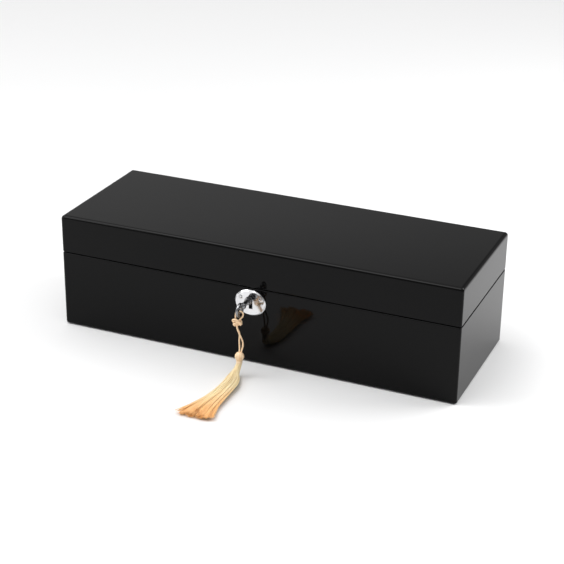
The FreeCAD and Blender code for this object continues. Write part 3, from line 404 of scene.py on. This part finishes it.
def tube_data(path, radius, sides=8, base=0, closed=False):
    p = np.asarray(path, float)
    t, n, b = frames(p)
    r = np.broadcast_to(np.asarray(radius, float), (len(p),))
    ang = np.linspace(0, 2 * math.pi, sides, endpoint=False)
    ring = np.cos(ang)[None, :, None] * n[:, None, :] + np.sin(ang)[None, :, None] * b[:, None, :]
    v = (p[:, None, :] + ring * r[:, None, None]).reshape(-1, 3)
    f = []
    m = len(p)
    for i in range(m if closed else m - 1):
        for j in range(sides):
            k = (j + 1) % sides
            i2 = (i + 1) % m
            f.append((base + i * sides + j, base + i * sides + k, base + i2 * sides + k, base + i2 * sides + j))
    if not closed:
        f.append(tuple(base + j for j in reversed(range(sides))))
        f.append(tuple(base + (m - 1) * sides + j for j in range(sides)))
    return v, f


def nurbs(points_mm):
    """The line of a NURBS spline through a route, in metres."""
    cu = bpy.data.curves.new("route", "CURVE")
    cu.dimensions = "3D"
    sp = cu.splines.new("NURBS")
    sp.points.add(len(points_mm) - 1)
    for q, p in zip(sp.points, points_mm):
        q.co = (p[0] * MM, p[1] * MM, p[2] * MM, 1.0)
    sp.order_u = 3
    sp.use_endpoint_u = True
    cu.resolution_u = 12
    ob = bpy.data.objects.new("route", cu)
    bpy.context.scene.collection.objects.link(ob)
    me = bpy.data.meshes.new_from_object(ob)
    pts = np.array([v.co for v in me.vertices], float)
    bpy.data.meshes.remove(me)
    bpy.data.objects.remove(ob)
    bpy.data.curves.remove(cu)
    return pts


def length_of(p):
    return float(np.linalg.norm(np.diff(p, axis=0), axis=1).sum())


def resample(p, n):
    s = np.concatenate([[0], np.cumsum(np.linalg.norm(np.diff(p, axis=0), axis=1))])
    q = np.linspace(0, s[-1], n)
    return np.stack([np.interp(q, s, p[:, i]) for i in range(3)], 1)


# ==================================================================== tassel
STRAND_R = [(0, -77.6, 51.15), (2.0, -77.6, 51.1), (2.9, -77.6, 49.2), (2.2, -77.6, 46.8), (0.0, -77.8, 44.6), (-1.3, -78.2, 41.8), (-1.9, -78.9, 38.2), (1.0, -79.5, 33.0), (3.5, -79.5, 28.2), (3.5, -79.6, 24.2), (2.5, -79.9, 20.4), (1.8, -80.2, 17.2), (1.8, -80.5, 14.0)]
STRAND_L = [(0, -77.6, 51.15), (-2.0, -77.6, 51.1), (-3.0, -77.6, 49.3), (-3.4, -77.6, 46.9), (-3.3, -77.8, 44.4), (-2.7, -78.0, 41.8), (-2.5, -77.5, 38.2), (0.5, -78.1, 33.2), (0.2, -79.0, 28.4), (0.8, -79.6, 24.2), (1.0, -79.9, 20.4), (0.4, -80.2, 17.2), (0.4, -80.5, 14.0)]
CORD_D = 1.3
for name, route in (("tassel_cord_right", STRAND_R), ("tassel_cord_left", STRAND_L)):
    line = nurbs(route)
    path = resample(line / MM, 150)
    t, n, b = frames(path)
    s = np.linspace(0, length_of(path), len(path))
    vs, fs, tint, base = [], [], [], 0
    for k in range(3):
        a = 2 * math.pi * (k / 3.0 + s / 2.6)
        off = 0.29 * (np.cos(a)[:, None] * n + np.sin(a)[:, None] * b)
        v, f = tube_data(path + off, 0.36, 8, base)
        vs.append(v)
        fs += f
        base += len(v)
        tint += [0.25 + 0.25 * k] * len(v)
    o = make(name, np.concatenate(vs), fs, M_CORD, "tassel", ("tassel_cord",), tint=tint, along=[0.0] * base)

# knot: an overhand turn of the doubled cord, pulled snug and leaning to one side
kc = np.array([-2.0, -78.1, 41.9])
KNOT_ROUTE = [(3.3, 0.3, -1.2), (3.0, -1.1, 0.6), (1.3, -1.7, 1.9), (-1.0, -1.6, 2.1), (-2.9, -0.9, 1.2), (-3.3, 0.5, -0.5), (-2.1, 1.5, -1.9), (0.2, 1.6, -2.1), (1.9, 0.9, -1.0), (1.5, -0.8, 0.2), (-0.2, -1.6, -0.3), (-1.9, -1.5, -1.3), (-1.6, 0.1, -2.3), (0.3, 1.2, -1.2), (1.4, 1.5, 0.8), (2.9, 1.2, 0.5)]
kr = np.array(KNOT_ROUTE, float)
vs, fs, tint, base = [], [], [], 0
m_ = len(kr)
for strand in range(2):
    pts = []
    for i in range(m_ * 9):
        t = i / 9.0
        i1 = int(t)
        u = t - i1
        q0, q1, q2, q3 = kr[(i1 - 1) % m_], kr[i1 % m_], kr[(i1 + 1) % m_], kr[(i1 + 2) % m_]
        pts.append(0.5 * (2 * q1 + (q2 - q0) * u + (2 * q0 - 5 * q1 + 4 * q2 - q3) * u * u + (3 * q1 - q0 - 3 * q2 + q3) * u ** 3))
    pts = np.array(pts)
    side = 0.42 if strand else -0.42
    pts = pts * np.array([0.94, 1.0, 1.12]) * (1.0 + 0.10 * (1 if strand else -1)) + np.array([0.0, 0.0, side])
    n_ = len(pts)
    s_ = np.linspace(0, length_of(pts), n_)
    t, n, b = frames(pts)
    for k in range(3):
        a = 2 * math.pi * (k / 3.0 + s_ / 2.6)
        off = 0.22 * (np.cos(a)[:, None] * n + np.sin(a)[:, None] * b)
        v, f = tube_data(pts + kc + off, 0.40, 7, base)
        vs.append(v)
        fs += f
        base += len(v)
        tint += [0.2 + 0.2 * k + 0.1 * strand] * len(v)
knot = make("tassel_knot_turns", np.concatenate(vs), fs, M_CORD, "tassel", ("tassel_knot",), tint=tint, along=[0.0] * base)

# head: threads folded over a ball, then bound at the neck
hc = np.array([1.1, -80.3, 16.0])
vs, fs, tint, along, base = [], [], [], [], 0
TH = 46
for k in range(TH):
    az = 2 * math.pi * k / TH + rng.uniform(-0.03, 0.03)
    rr = 3.18 + rng.uniform(-0.06, 0.08)
    pts = []
    for i in range(22):
        u = i / 21.0
        if u < 0.72:
            ph = math.radians(8) + (math.radians(150) - math.radians(8)) * (u / 0.72)
            r, z = rr * math.sin(ph), rr * math.cos(ph)
        else:
            w = (u - 0.72) / 0.28
            r0, z0 = rr * math.sin(math.radians(150)), rr * math.cos(math.radians(150))
            r, z = r0 + (1.95 - r0) * w, z0 - 2.3 * w
        tw = az + 0.16 * u
        pts.append((hc[0] + r * math.cos(tw), hc[1] + r * math.sin(tw) - 0.10 * max(0.0, -z - 2.4), hc[2] + z))
    v, f = tube_data(pts, 0.26, 6, base)
    vs.append(v)
    fs += f
    base += len(v)
    c = rng.random()
    tint += [c] * len(v)
    along += [0.0] * len(v)
# smooth core under the threads
core_v, core_f = [], []
for i in range(17):
    ph = math.pi * i / 16
    for j in range(24):
        a = 2 * math.pi * j / 24
        core_v.append((hc[0] + 3.08 * math.sin(ph) * math.cos(a), hc[1] + 3.08 * math.sin(ph) * math.sin(a), hc[2] + 3.08 * math.cos(ph)))
for i in range(16):
    for j in range(24):
        k = (j + 1) % 24
        core_f.append((base + i * 24 + j, base + (i + 1) * 24 + j, base + (i + 1) * 24 + k, base + i * 24 + k))
vs.append(np.array(core_v))
fs += core_f
base += len(core_v)
tint += [0.8] * len(core_v)
along += [0.0] * len(core_v)
head = make("tassel_head_threads", np.concatenate(vs), fs, M_CORD, "tassel", ("tassel_head",), tint=tint, along=along)

# binding at the neck
q = np.linspace(0, 1, 260)
turns = 6
bind = np.stack([1.1 + 2.14 * np.cos(2 * math.pi * turns * q), -80.5 + 2.14 * np.sin(2 * math.pi * turns * q), 13.1 - 1.9 * q], 1)
v, f = tube_data(bind, 0.24, 6)
binding = make("tassel_binding", v, f, M_CORD, "tassel", ("tassel_head",), tint=[0.15] * len(v), along=[0.0] * len(v))

# skirt of threads
SECTIONS = [  # centre, half width, half height
    ((1.1, -80.45, 13.2), 1.9, 1.9),
    ((1.1, -80.64, 11.2), 2.0, 2.0),
    ((0.6, -81.1, 8.7), 2.1, 2.1),
    ((0.1, -82.5, 6.2), 2.4, 2.3),
    ((0.0, -85.6, 4.4), 3.2, 2.6),
    ((1.2, -91.8, 3.5), 5.2, 2.8),
    ((2.4, -99.5, 3.3), 6.1, 2.8),
    ((2.6, -110.0, 3.2), 6.4, 2.8),
    ((1.8, -124.0, 3.1), 7.3, 2.6),
    ((0.2, -135.0, 2.9), 9.3, 2.5),
    ((-0.8, -144.0, 2.75), 12.2, 2.35),
    ((-1.7, -151.4, 2.5), 14.9, 2.1),
]
sc = np.array([s[0] for s in SECTIONS])
sw = np.array([s[1] for s in SECTIONS])
sh = np.array([s[2] for s in SECTIONS])
ss = np.concatenate([[0], np.cumsum(np.linalg.norm(np.diff(sc, axis=0), axis=1))])
ss /= ss[-1]


def smooth_interp(t, y):
    """Catmull-Rom through the section values."""
    t = min(max(t, 0.0), 1.0)
    i = int(np.searchsorted(ss, t, side="right")) - 1
    i = min(max(i, 0), len(ss) - 2)
    u = (t - ss[i]) / (ss[i + 1] - ss[i])
    p0, p1, p2, p3 = y[max(i - 1, 0)], y[i], y[i + 1], y[min(i + 2, len(y) - 1)]
    return 0.5 * ((2 * p1) + (-p0 + p2) * u + (2 * p0 - 5 * p1 + 4 * p2 - p3) * u * u + (-p0 + 3 * p1 - 3 * p2 + p3) * u ** 3)


N_THREADS = 620
STEPS = 30
vs, fs, tint, along, base = [], [], [], [], 0
cache = []
for i in range(401):
    t = i / 400.0
    c = smooth_interp(t, sc)
    d = smooth_interp(min(t + 0.01, 1), sc) - smooth_interp(max(t - 0.01, 0), sc)
    d /= np.linalg.norm(d)
    up = np.cross([1.0, 0, 0], d)
    up /= np.linalg.norm(up)
    if up[2] < 0:
        up = -up
    cache.append((c, d, up, smooth_interp(t, sw), smooth_interp(t, sh)))
# the threads gather into locks that part towards the ends
LOCKS = []
for k in range(26):
    rad, th = math.sqrt((k + 0.5) / 26.0), 2.39996 * k
    LOCKS.append((rad * math.cos(th), rad * math.sin(th), rng.uniform(-0.05, 0.03), rng.random(), rng.uniform(-0.10, 0.10)))
for k in range(N_THREADS):
    rad = math.sqrt(rng.random())
    th = 2 * math.pi * rng.random()
    a, b = rad * math.cos(th), rad * math.sin(th)
    lk = min(LOCKS, key=lambda q: (q[0] - a) ** 2 + (q[1] - b) ** 2)
    end = 0.955 + 0.045 * rng.random() + lk[2]
    if rng.random() < 0.10:
        end -= rng.uniform(0.02, 0.14)
    end = min(end, 1.0)
    amp = 0.03 + 0.10 * rng.random() ** 2
    ph1, ph2, w1 = rng.uniform(0, 6.28), rng.uniform(0, 6.28), rng.uniform(3.5, 9.0)
    stray = rng.uniform(-1, 1) * (0.22 if rng.random() < 0.10 else 0.04)
    pull = rng.uniform(0.30, 0.62)
    pts, length_and_side_shade = [], []
    for i in range(STEPS):
        t = end * i / (STEPS - 1)
        c, d, up, hw, hh = cache[int(t * 400)]
        grow = t ** 1.4
        g = pull * min(1.0, grow * 1.6)
        aa = a + (lk[0] + lk[4] * t - a) * g + amp * grow * math.sin(w1 * t + ph1) + stray * grow * t
        bb = b + (lk[1] - b) * g + amp * grow * math.cos(w1 * 0.8 * t + ph2)
        aa = max(-1.04, min(1.04, aa))
        lump = mnoise.noise(Vector((a * 1.5, t * 3.0, 1.0))) * 0.30 * grow
        side = math.copysign(abs(aa) ** 0.92, aa)
        p = c + np.array([1.0, 0, 0]) * hw * side + up * hh * (bb * (1 - 0.25 * abs(aa)) + lump)
        p[2] = max(p[2], 0.30)
        pts.append(p)
        # Length along the thread plus a painted shade term: threads on the right side turn deeper orange sooner, those
        # on the left later, as painted light.
        length_and_side_shade.append(t + (0.24 if aa > 0 else 0.10) * aa * math.sin(math.pi * min(1.0, t)) * min(1.0, 2.2 * t))
    r = rng.uniform(0.19, 0.29)
    v, f = tube_data(pts, np.linspace(r, r * 0.8, STEPS), 4, base)
    vs.append(v)
    fs += f
    base += len(v)
    cc = min(1.0, max(0.0, 0.55 * rng.random() + 0.45 * lk[3]))
    tint += [cc] * len(v)
    along += list(np.repeat(length_and_side_shade, 4))
skirt = make("tassel_skirt_threads", np.concatenate(vs), fs, M_SKIRT, "tassel", ("tassel_skirt",), tint=tint, along=along)


# ================================================================ soft lining
W2, D2, XI, YI = 160.0, 57.0, 151.0, 48.0
FLOOR_Z = 4.8


def rrect(x0, x1, y0, y1, r, nx=40, ny=24, nc=6):
    """Closed loop of a rounded rectangle, the same number of points on every side."""
    r = max(0.05, min(r, 0.49 * (x1 - x0), 0.49 * (y1 - y0)))
    pts = []
    for cx, cy, a0, p, q, n in (
        (x1 - r, y0 + r, -90, (x0 + r, y0), (x1 - r, y0), nx),
        (x1 - r, y1 - r, 0, (x1, y0 + r), (x1, y1 - r), ny),
        (x0 + r, y1 - r, 90, (x1 - r, y1), (x0 + r, y1), nx),
        (x0 + r, y0 + r, 180, (x0, y1 - r), (x0, y0 + r), ny),
    ):
        for i in range(n):
            u = i / float(n)
            pts.append((p[0] + (q[0] - p[0]) * u, p[1] + (q[1] - p[1]) * u))
        for i in range(nc):
            a = math.radians(a0 + 90.0 * i / nc)
            pts.append((cx + r * math.cos(a), cy + r * math.sin(a)))
    return np.array(pts)


def loft(loops, closed=False, base=0):
    """Faces between rings of equal count; the ends are capped unless the loft closes on itself."""
    n = len(loops[0])
    v = np.concatenate(loops)
    f = []
    m = len(loops)
    for i in range(m if closed else m - 1):
        for j in range(n):
            k = (j + 1) % n
            i2 = (i + 1) % m
            f.append((base + i * n + j, base + i * n + k, base + i2 * n + k, base + i2 * n + j))
    if not closed:
        f.append(tuple(base + j for j in reversed(range(n))))
        f.append(tuple(base + (m - 1) * n + j for j in range(n)))
    return v, f


def nz(x, y, z, s, seed=0.0):
    return mnoise.noise(Vector((x * s + seed, y * s - seed, z * s + 0.7 * seed)))


def lining(name, a, b, seed):
    """Velvet over thin card: soft rim, walls that bulge a little, a padded floor."""
    top = 50.7
    prof = [(0.0, 4.8, 0.6, 0), (0.0, 20.0, 0.6, 0), (0.0, 49.7, 0.6, 0), (0.12, 50.35, 0.6, 0), (0.42, 50.7, 0.6, 0.2), (0.85, 50.62, 0.7, 0.3), (1.15, 50.1, 0.8, 0.5)]
    for z in (48.5, 45, 41, 36.5, 32, 27.5, 23, 18.5, 14, 10.5, 8.6):
        prof.append((1.22 + 0.28 * math.sin(math.pi * (z - 6) / 44.0), z, 1.0, 1.0))
    prof += [(1.5, 7.3, 1.4, 0.6), (2.1, 6.55, 1.8, 0.3), (3.2, 6.15, 2.4, 0.3)]
    half = (b - a) / 2.0 - 0.8
    ins = [5.0, 7.5, 10.5, 14.0, 18.0, 22.0, 26.0]
    ins = [q for q in ins if q < half - 1.0] + [half]
    for q in ins:
        u = q / half
        prof.append((q, 6.05 + 0.55 * math.sin(0.5 * math.pi * u), 3.0 * (1 - 0.6 * u), -1.0))
    loops = []
    for inset, z, r, w in prof:
        ring = rrect(a + inset, b - inset, -YI + inset, YI - inset, r)
        cx, cy = (a + b) / 2.0, 0.0
        out = []
        for x, y in ring:
            if w > 0:
                q = w * (0.26 * nz(x, y, z, 0.055, seed) + 0.10 * nz(x, y, z, 0.22, seed))
                nx_ = -1.0 if x > b - inset - 0.01 else (1.0 if x < a + inset + 0.01 else 0.0)
                ny_ = -1.0 if y > YI - inset - 0.01 else (1.0 if y < -YI + inset + 0.01 else 0.0)
                out.append((x + nx_ * (q + 0.05), y + ny_ * (q + 0.05), z + 0.12 * w * nz(x, y, z, 0.09, seed + 5)))
            elif w < 0:
                out.append((x, y, z + 0.30 * nz(x, y, z, 0.05, seed) + 0.10 * nz(x, y, z, 0.19, seed)))
            else:
                out.append((x, y, z))
        loops.append(np.array(out))
    return loft(loops)


vs, fs, base = [], [], 0
for i, (a, b) in enumerate(((-79.0, -21.5), (-18.5, 38.0), (41.0, 151.0))):
    v, f = lining("", a, b, 3.1 * i)
    vs.append(v)
    fs += [tuple(base + q for q in t) for t in f]
    base += len(v)
linings = make("tray_lining_velvet", np.concatenate(vs), fs, M_VELVET, "case", ("tray_linings",))

# dividers: thin boards with velvet wrapped over the top
vs, fs, base = [], [], 0
for i, (a, b) in enumerate(((-21.5, -18.5), (38.0, 41.0))):
    c, h = (a + b) / 2.0, (b - a) / 2.0
    sec = [(-h, 4.8), (-h, 16.0), (-h, 30.0), (-h, 44.0), (-h, 49.0)]
    sec += [(-h * math.cos(math.radians(q)), 50.5 + 1.5 * math.sin(math.radians(q))) for q in (0, 22, 45, 68, 90, 112, 135, 158, 180)]
    sec += [(h, 49.0), (h, 44.0), (h, 30.0), (h, 16.0), (h, 4.8)]
    loops = []
    for j in range(61):
        y = -YI + 96.0 * j / 60.0
        e = 0.0 if 0 < j < 60 else 0.25
        ring = []
        for x, z in sec:
            w = 1.0 if z > 46 else 0.4
            ring.append((c + x * (1 + 0.05 * w * nz(x, y, z, 0.09, i)) * (1 - e * 0.4), y, z - 0.12 * w * abs(nz(x, y, z, 0.07, 2 + i)) * (1 if z > 49 else 0)))
        loops.append(np.array(ring))
    v, f = loft(loops)
    vs.append(v)
    fs += [tuple(base + q for q in t) for t in f]
    base += len(v)
make("divider_velvet", np.concatenate(vs), fs, M_VELVET, "case", ("tray_dividers",))

# padded frame round the mirror, with a welt along its inner edge
prof = [(0.0, 82.5), (0.0, 81.0), (0.0, 79.4)]
for u in (0.012, 0.035, 0.07, 0.12, 0.20, 0.30, 0.42, 0.54, 0.66, 0.77, 0.86, 0.93, 0.97, 1.0):
    prof.append((u, 79.0 - 1.5 * math.sin(math.pi * (0.08 + 0.88 * u)) ** 0.55))
prof += [(1.0, 80.2), (0.90, 80.2), (0.90, 82.5), (0.5, 82.5)]
loops = []
for u, z in prof:
    ring = rrect(-150.6 + 29.6 * u, 150.6 - 29.6 * u, -47.6 + 13.1 * u, 47.6 - 13.1 * u, 1.2 + 1.2 * (1 - u), 90, 34, 6)
    k = 1.0 if z < 79.3 else 0.0
    loops.append(np.array([(x, y, z + k * (0.22 * nz(x, y, 0, 0.045) + 0.12 * nz(x, y, 0, 0.16, 4))) for x, y in ring]))
v, f = loft(loops, closed=True)
lidpad = make("lid_frame_velvet", v, f, M_VELVET, "lid", ("lid_lining_frame",))
ring = rrect(-121.3, 121.3, -34.8, 34.8, 2.2, 110, 40, 8)
welt = np.stack([ring[:, 0], ring[:, 1], 78.55 + 0.06 * np.sin(np.arange(len(ring)) * 0.9)], 1)
v, f = tube_data(welt, 0.85, 10, closed=True)
make("lid_frame_welt", v, f, M_VELVET, "lid", ("lid_lining_frame",))

# ring rolls: foam in velvet, gathered at both ends, set side by side
RX0, RX1, NR = 42.2, 149.8, 7
pitch = (RX1 - RX0) / NR
SIM = 10.0
vs, fs, base, pins = [], [], 0, []
NA, NL = 30, 50
for i in range(NR):
    cx, hwid = RX0 + (i + 0.5) * pitch, pitch / 2.0 - 0.42
    y0, y1 = -46.0, 46.0
    loops = []
    for j in range(NL):
        u = j / (NL - 1.0)
        y = y0 + (y1 - y0) * (0.5 - 0.5 * math.cos(math.pi * u))
        e = min(u, 1 - u) * 2
        k = 0.80 + 0.20 * (1 - (1 - min(1.0, e * 16.0)) ** 2.4) ** 0.5
        ring = []
        for q in range(NA):
            an = 2 * math.pi * q / NA
            ca, sa = math.cos(an), math.sin(an)
            if sa >= 0:
                x, z = hwid * ca, 40.2 + 7.1 * sa
            else:
                x, z = hwid * math.copysign(abs(ca) ** 0.22, ca), 40.2 - 15.8 * abs(sa) ** 0.9
            z = 24.4 + (z - 24.4) * (0.25 + 0.75 * k) if z > 24.4 else z
            ring.append((cx + x * k, y, z))
        loops.append(np.array(ring))
    v, f = loft(loops, base=base)
    vs.append(v)
    fs += f
    pins += [base + q for q in range(len(v)) if v[q][2] < 25.2]
    base += len(v)
rolls_v = np.concatenate(vs)
rolls_v[:, 2] += np.array([0.22 * nz(p[0] * 0.5, p[1], 0, 0.11, 2.0) * (1 if p[2] > 34 else 0) for p in rolls_v])
rolls = make("ring_roll_pads", rolls_v, fs, M_VELVET, "case", ("ring_rolls",))


def puff(o, pressure, cap_mm, pins, frames=20):
    """Fill the cloth from inside, then keep each point near where it was sewn."""
    me = o.data
    n = len(me.vertices)
    co = np.empty(n * 3, np.float32)
    me.vertices.foreach_get("co", co)
    rest = co.copy().reshape(-1, 3)
    me.vertices.foreach_set("co", (rest * SIM).ravel())
    me.update()
    g = o.vertex_groups.new(name="sewn")
    g.add(pins, 1.0, "REPLACE")
    md = o.modifiers.new("Cloth", "CLOTH")
    st = md.settings
    st.quality = 6
    st.mass = 0.2
    st.tension_stiffness = st.compression_stiffness = st.shear_stiffness = 12
    st.bending_stiffness = 1.2
    st.vertex_group_mass = "sewn"
    st.use_pressure = True
    st.uniform_pressure_force = pressure
    st.effector_weights.gravity = 0.0
    md.collision_settings.use_collision = False
    md.point_cache.frame_start, md.point_cache.frame_end = 1, frames
    for fr in range(1, frames + 1):
        bpy.context.scene.frame_set(fr)
    ev = o.evaluated_get(bpy.context.evaluated_depsgraph_get())
    out = np.empty(n * 3, np.float32)
    ev.data.vertices.foreach_get("co", out)
    out = out.reshape(-1, 3) / SIM
    move = out - rest
    d = np.linalg.norm(move, axis=1)
    move *= np.minimum(1.0, cap_mm * MM / np.maximum(d, 1e-9))[:, None]
    o.modifiers.remove(md)
    me.vertices.foreach_set("co", (rest + move).ravel())
    me.update()
    bpy.context.scene.frame_set(1)
    return d.max()


print("ring rolls moved", puff(rolls, 4.0, 0.7, pins))
sub = rolls.modifiers.new("Subdivision", "SUBSURF")
sub.levels = sub.render_levels = 1

# felt under the base, cut round the key's well
hx, hy = -133.0, 2.0
outer = rrect(-157.5, 157.5, -54.5, 54.5, 3.0, 90, 34, 8)
vec = outer - np.array([hx, hy])
dist = np.linalg.norm(vec, axis=1)
unit = vec / dist[:, None]
fz = np.array([0.10 * nz(p[0], p[1], 0, 0.9) + 0.06 * nz(p[0], p[1], 0, 2.6, 3) for p in outer])
loops = []
KR = 16
for k in range(KR):
    u = k / (KR - 1.0)
    r = 21.25 + (dist - 0.20 - 21.25) * u
    z = np.full(len(r), 0.0)
    loops.append(np.column_stack([hx + unit[:, 0] * r, hy + unit[:, 1] * r, z]))
loops.append(np.column_stack([hx + unit[:, 0] * (dist - 0.02 + fz), hy + unit[:, 1] * (dist - 0.02 + fz), np.full(len(dist), 0.22)]))
loops.append(np.column_stack([hx + unit[:, 0] * (dist - 0.02 + fz), hy + unit[:, 1] * (dist - 0.02 + fz), np.full(len(dist), 0.60)]))
for k in reversed(range(KR)):
    u = k / (KR - 1.0)
    r = 21.25 + (dist - 0.20 - 21.25) * u
    loops.append(np.column_stack([hx + unit[:, 0] * r, hy + unit[:, 1] * r, np.full(len(r), 0.79)]))
loops.append(np.column_stack([hx + unit[:, 0] * 21.05, hy + unit[:, 1] * 21.05, np.full(len(dist), 0.4)]))
v, f = loft(loops, closed=True)
feltp = make("base_felt_sheet", v, f, M_FELT, "case", ("base_felt",), smooth=False)

# ------------------------------------------------ threads of the governor worm
WX, WY = -96.2, 17.8719
prof = [(0.3, 24.2), (0.5, 24.35), (0.5, 25.2), (0.82, 25.25), (0.9, 25.4), (0.9, 30.7), (1.05, 31.0)]
loops = []
NAW = 36
for r, z in prof:
    loops.append(np.array([(WX + r * math.cos(2 * math.pi * q / NAW), WY + r * math.sin(2 * math.pi * q / NAW), z) for q in range(NAW)]))
LEAD = math.pi * 0.4
for k in range(1, 116):
    z = 31.0 + 9.5 * k / 116.0
    ring = []
    for q in range(NAW):
        ph = (z / LEAD - q / float(NAW)) % 1.0
        tri = 1.0 - abs(2 * ph - 1.0)
        lift = min(1.0, max(0.0, (tri - 0.22) / 0.42)) * min(1.0, k / 8.0, (116 - k) / 8.0)
        r = 1.06 + 0.52 * lift
        ring.append((WX + r * math.cos(2 * math.pi * q / NAW), WY + r * math.sin(2 * math.pi * q / NAW), z))
    loops.append(np.array(ring))
for r, z in ((0.95, 40.55), (0.5, 40.6), (0.5, 46.3), (0.3, 46.5)):
    loops.append(np.array([(WX + r * math.cos(2 * math.pi * q / NAW), WY + r * math.sin(2 * math.pi * q / NAW), z) for q in range(NAW)]))
v, f = loft(loops)
make("governor_worm_thread", v, f, M_STEEL_Z, BODY_OF["governor_worm"], ("governor_worm",))


# ===================================================================== stage
def stage_floor():
    me = bpy.data.meshes.new("floor")
    s = 9.0
    me.from_pydata([(-s, -s, 0), (s, -s, 0), (s, s, 0), (-s, s, 0)], [], [(0, 1, 2, 3)])
    o = bpy.data.objects.new("floor", me)
    bpy.context.scene.collection.objects.link(o)
    k = Mat("floor_with_painted_shade")
    x, y, z = k.pos()
    # Base colour darker within 0.35 m of the box, blending to lighter by 1.1 m: painted shade on the floor round the
    # box, with a faint random tone in it.
    painted_shade_radius = k.math("SQRT", k.math("ADD", k.math("MULTIPLY", x, x), k.math("MULTIPLY", y, y)))
    grain = k.ramp(k.noise(6, 2), (0.3, (0.828, 0.828, 0.831)), (0.7, (0.838, 0.838, 0.839)))
    k.link(k.mix(k.rng(painted_shade_radius, 0.35, 1.1, 0.0, 1.0), grain, (0.93, 0.93, 0.931)), "Base Color")
    k.set(Roughness=0.9, Specular_IOR_Level=0.1)
    me.materials.append(k.m)
    o.location.z = -0.0002
    return o


stage_floor()

world = bpy.data.worlds.new("studio")
bpy.context.scene.world = world
world.use_nodes = True
nt = world.node_tree
nt.nodes.clear()
wout = nt.nodes.new("ShaderNodeOutputWorld")
bg = nt.nodes.new("ShaderNodeBackground")
tc = nt.nodes.new("ShaderNodeTexCoord")
sep = nt.nodes.new("ShaderNodeSeparateXYZ")
nt.links.new(tc.outputs["Generated"], sep.inputs[0])
def sky_ramp(sock, stops):
    r = nt.nodes.new("ShaderNodeValToRGB")
    r.color_ramp.interpolation = "EASE"
    e = r.color_ramp.elements
    while len(e) < len(stops):
        e.new(0.5)
    for s, (p, v) in zip(e, stops):
        s.position = p
        s.color = (v, v, v, 1)
    nt.links.new(sock, r.inputs[0])
    return r.outputs[0]


# brightness by height, and a little more of it from the left of the room
up_part = sky_ramp(sep.outputs[2], [(0.0, 1.15), (0.025, 1.1), (0.10, 0.46), (0.37, 0.46), (0.46, 0.275), (0.58, 0.19), (0.78, 1.05), (1.0, 1.6)])
half = nt.nodes.new("ShaderNodeMapRange")
for k_, v_ in zip(("From Min", "From Max", "To Min", "To Max"), (-1.0, 1.0, 0.0, 1.0)):
    half.inputs[k_].default_value = v_
nt.links.new(sep.outputs[0], half.inputs["Value"])
side_part = sky_ramp(half.outputs[0], [(0.0, 1.25), (0.24, 1.2), (0.42, 0.88), (1.0, 0.85)])
both = nt.nodes.new("ShaderNodeMix")
both.data_type = "RGBA"
both.blend_type = "MULTIPLY"
both.inputs[0].default_value = 1.0
nt.links.new(up_part, both.inputs[6])
nt.links.new(side_part, both.inputs[7])
nt.links.new(both.outputs[2], bg.inputs[0])
bg.inputs[1].default_value = 1.0
nt.links.new(bg.outputs[0], wout.inputs[0])


def area(name, loc, target, size, power, color=(1, 1, 1)):
    d = bpy.data.lights.new(name, "AREA")
    d.shape = "RECTANGLE"
    d.size, d.size_y = size
    d.energy = power
    d.color = color
    o = bpy.data.objects.new(name, d)
    bpy.context.scene.collection.objects.link(o)
    o.location = loc
    o.rotation_euler = (Vector(target) - Vector(loc)).to_track_quat("-Z", "Y").to_euler()
    return o


area("overhead_softbox", (-0.34, -0.36, 1.20), (-0.05, -0.06, 0.05), (1.10, 0.50), 5.4)
area("left_softbox", (-0.72, -0.46, 0.62), (-0.16, -0.12, 0.0), (0.45, 0.45), 2.6)
area("right_softbox", (0.62, 0.40, 0.58), (0.25, 0.06, 0.0), (0.5, 0.5), 4.3)

# ==================================================================== camera
cam = bpy.data.cameras.new("camera")
cam.sensor_width = 36.0
cam.lens = 1508.8 / 564.0 * 36.0
cam.clip_start, cam.clip_end = 0.05, 50
co = bpy.data.objects.new("camera", cam)
bpy.context.scene.collection.objects.link(co)
az, el, roll = math.radians(23.01), math.radians(24.42), math.radians(0.77)
back = Vector((math.sin(az) * math.cos(el), -math.cos(az) * math.cos(el), math.sin(el)))
pos = Vector((0, 0, 0.0424)) + back * 1.1605
x = Vector((0, 0, 1)).cross(back).normalized()
y = back.cross(x)
X = math.cos(roll) * x + math.sin(roll) * y
Y = -math.sin(roll) * x + math.cos(roll) * y
co.matrix_world = Matrix(((X[0], Y[0], back[0], pos[0]), (X[1], Y[1], back[1], pos[1]), (X[2], Y[2], back[2], pos[2]), (0, 0, 0, 1)))
bpy.context.scene.camera = co
bpy.context.scene.view_settings.view_transform = "Standard"
bpy.context.scene.view_settings.look = "None"
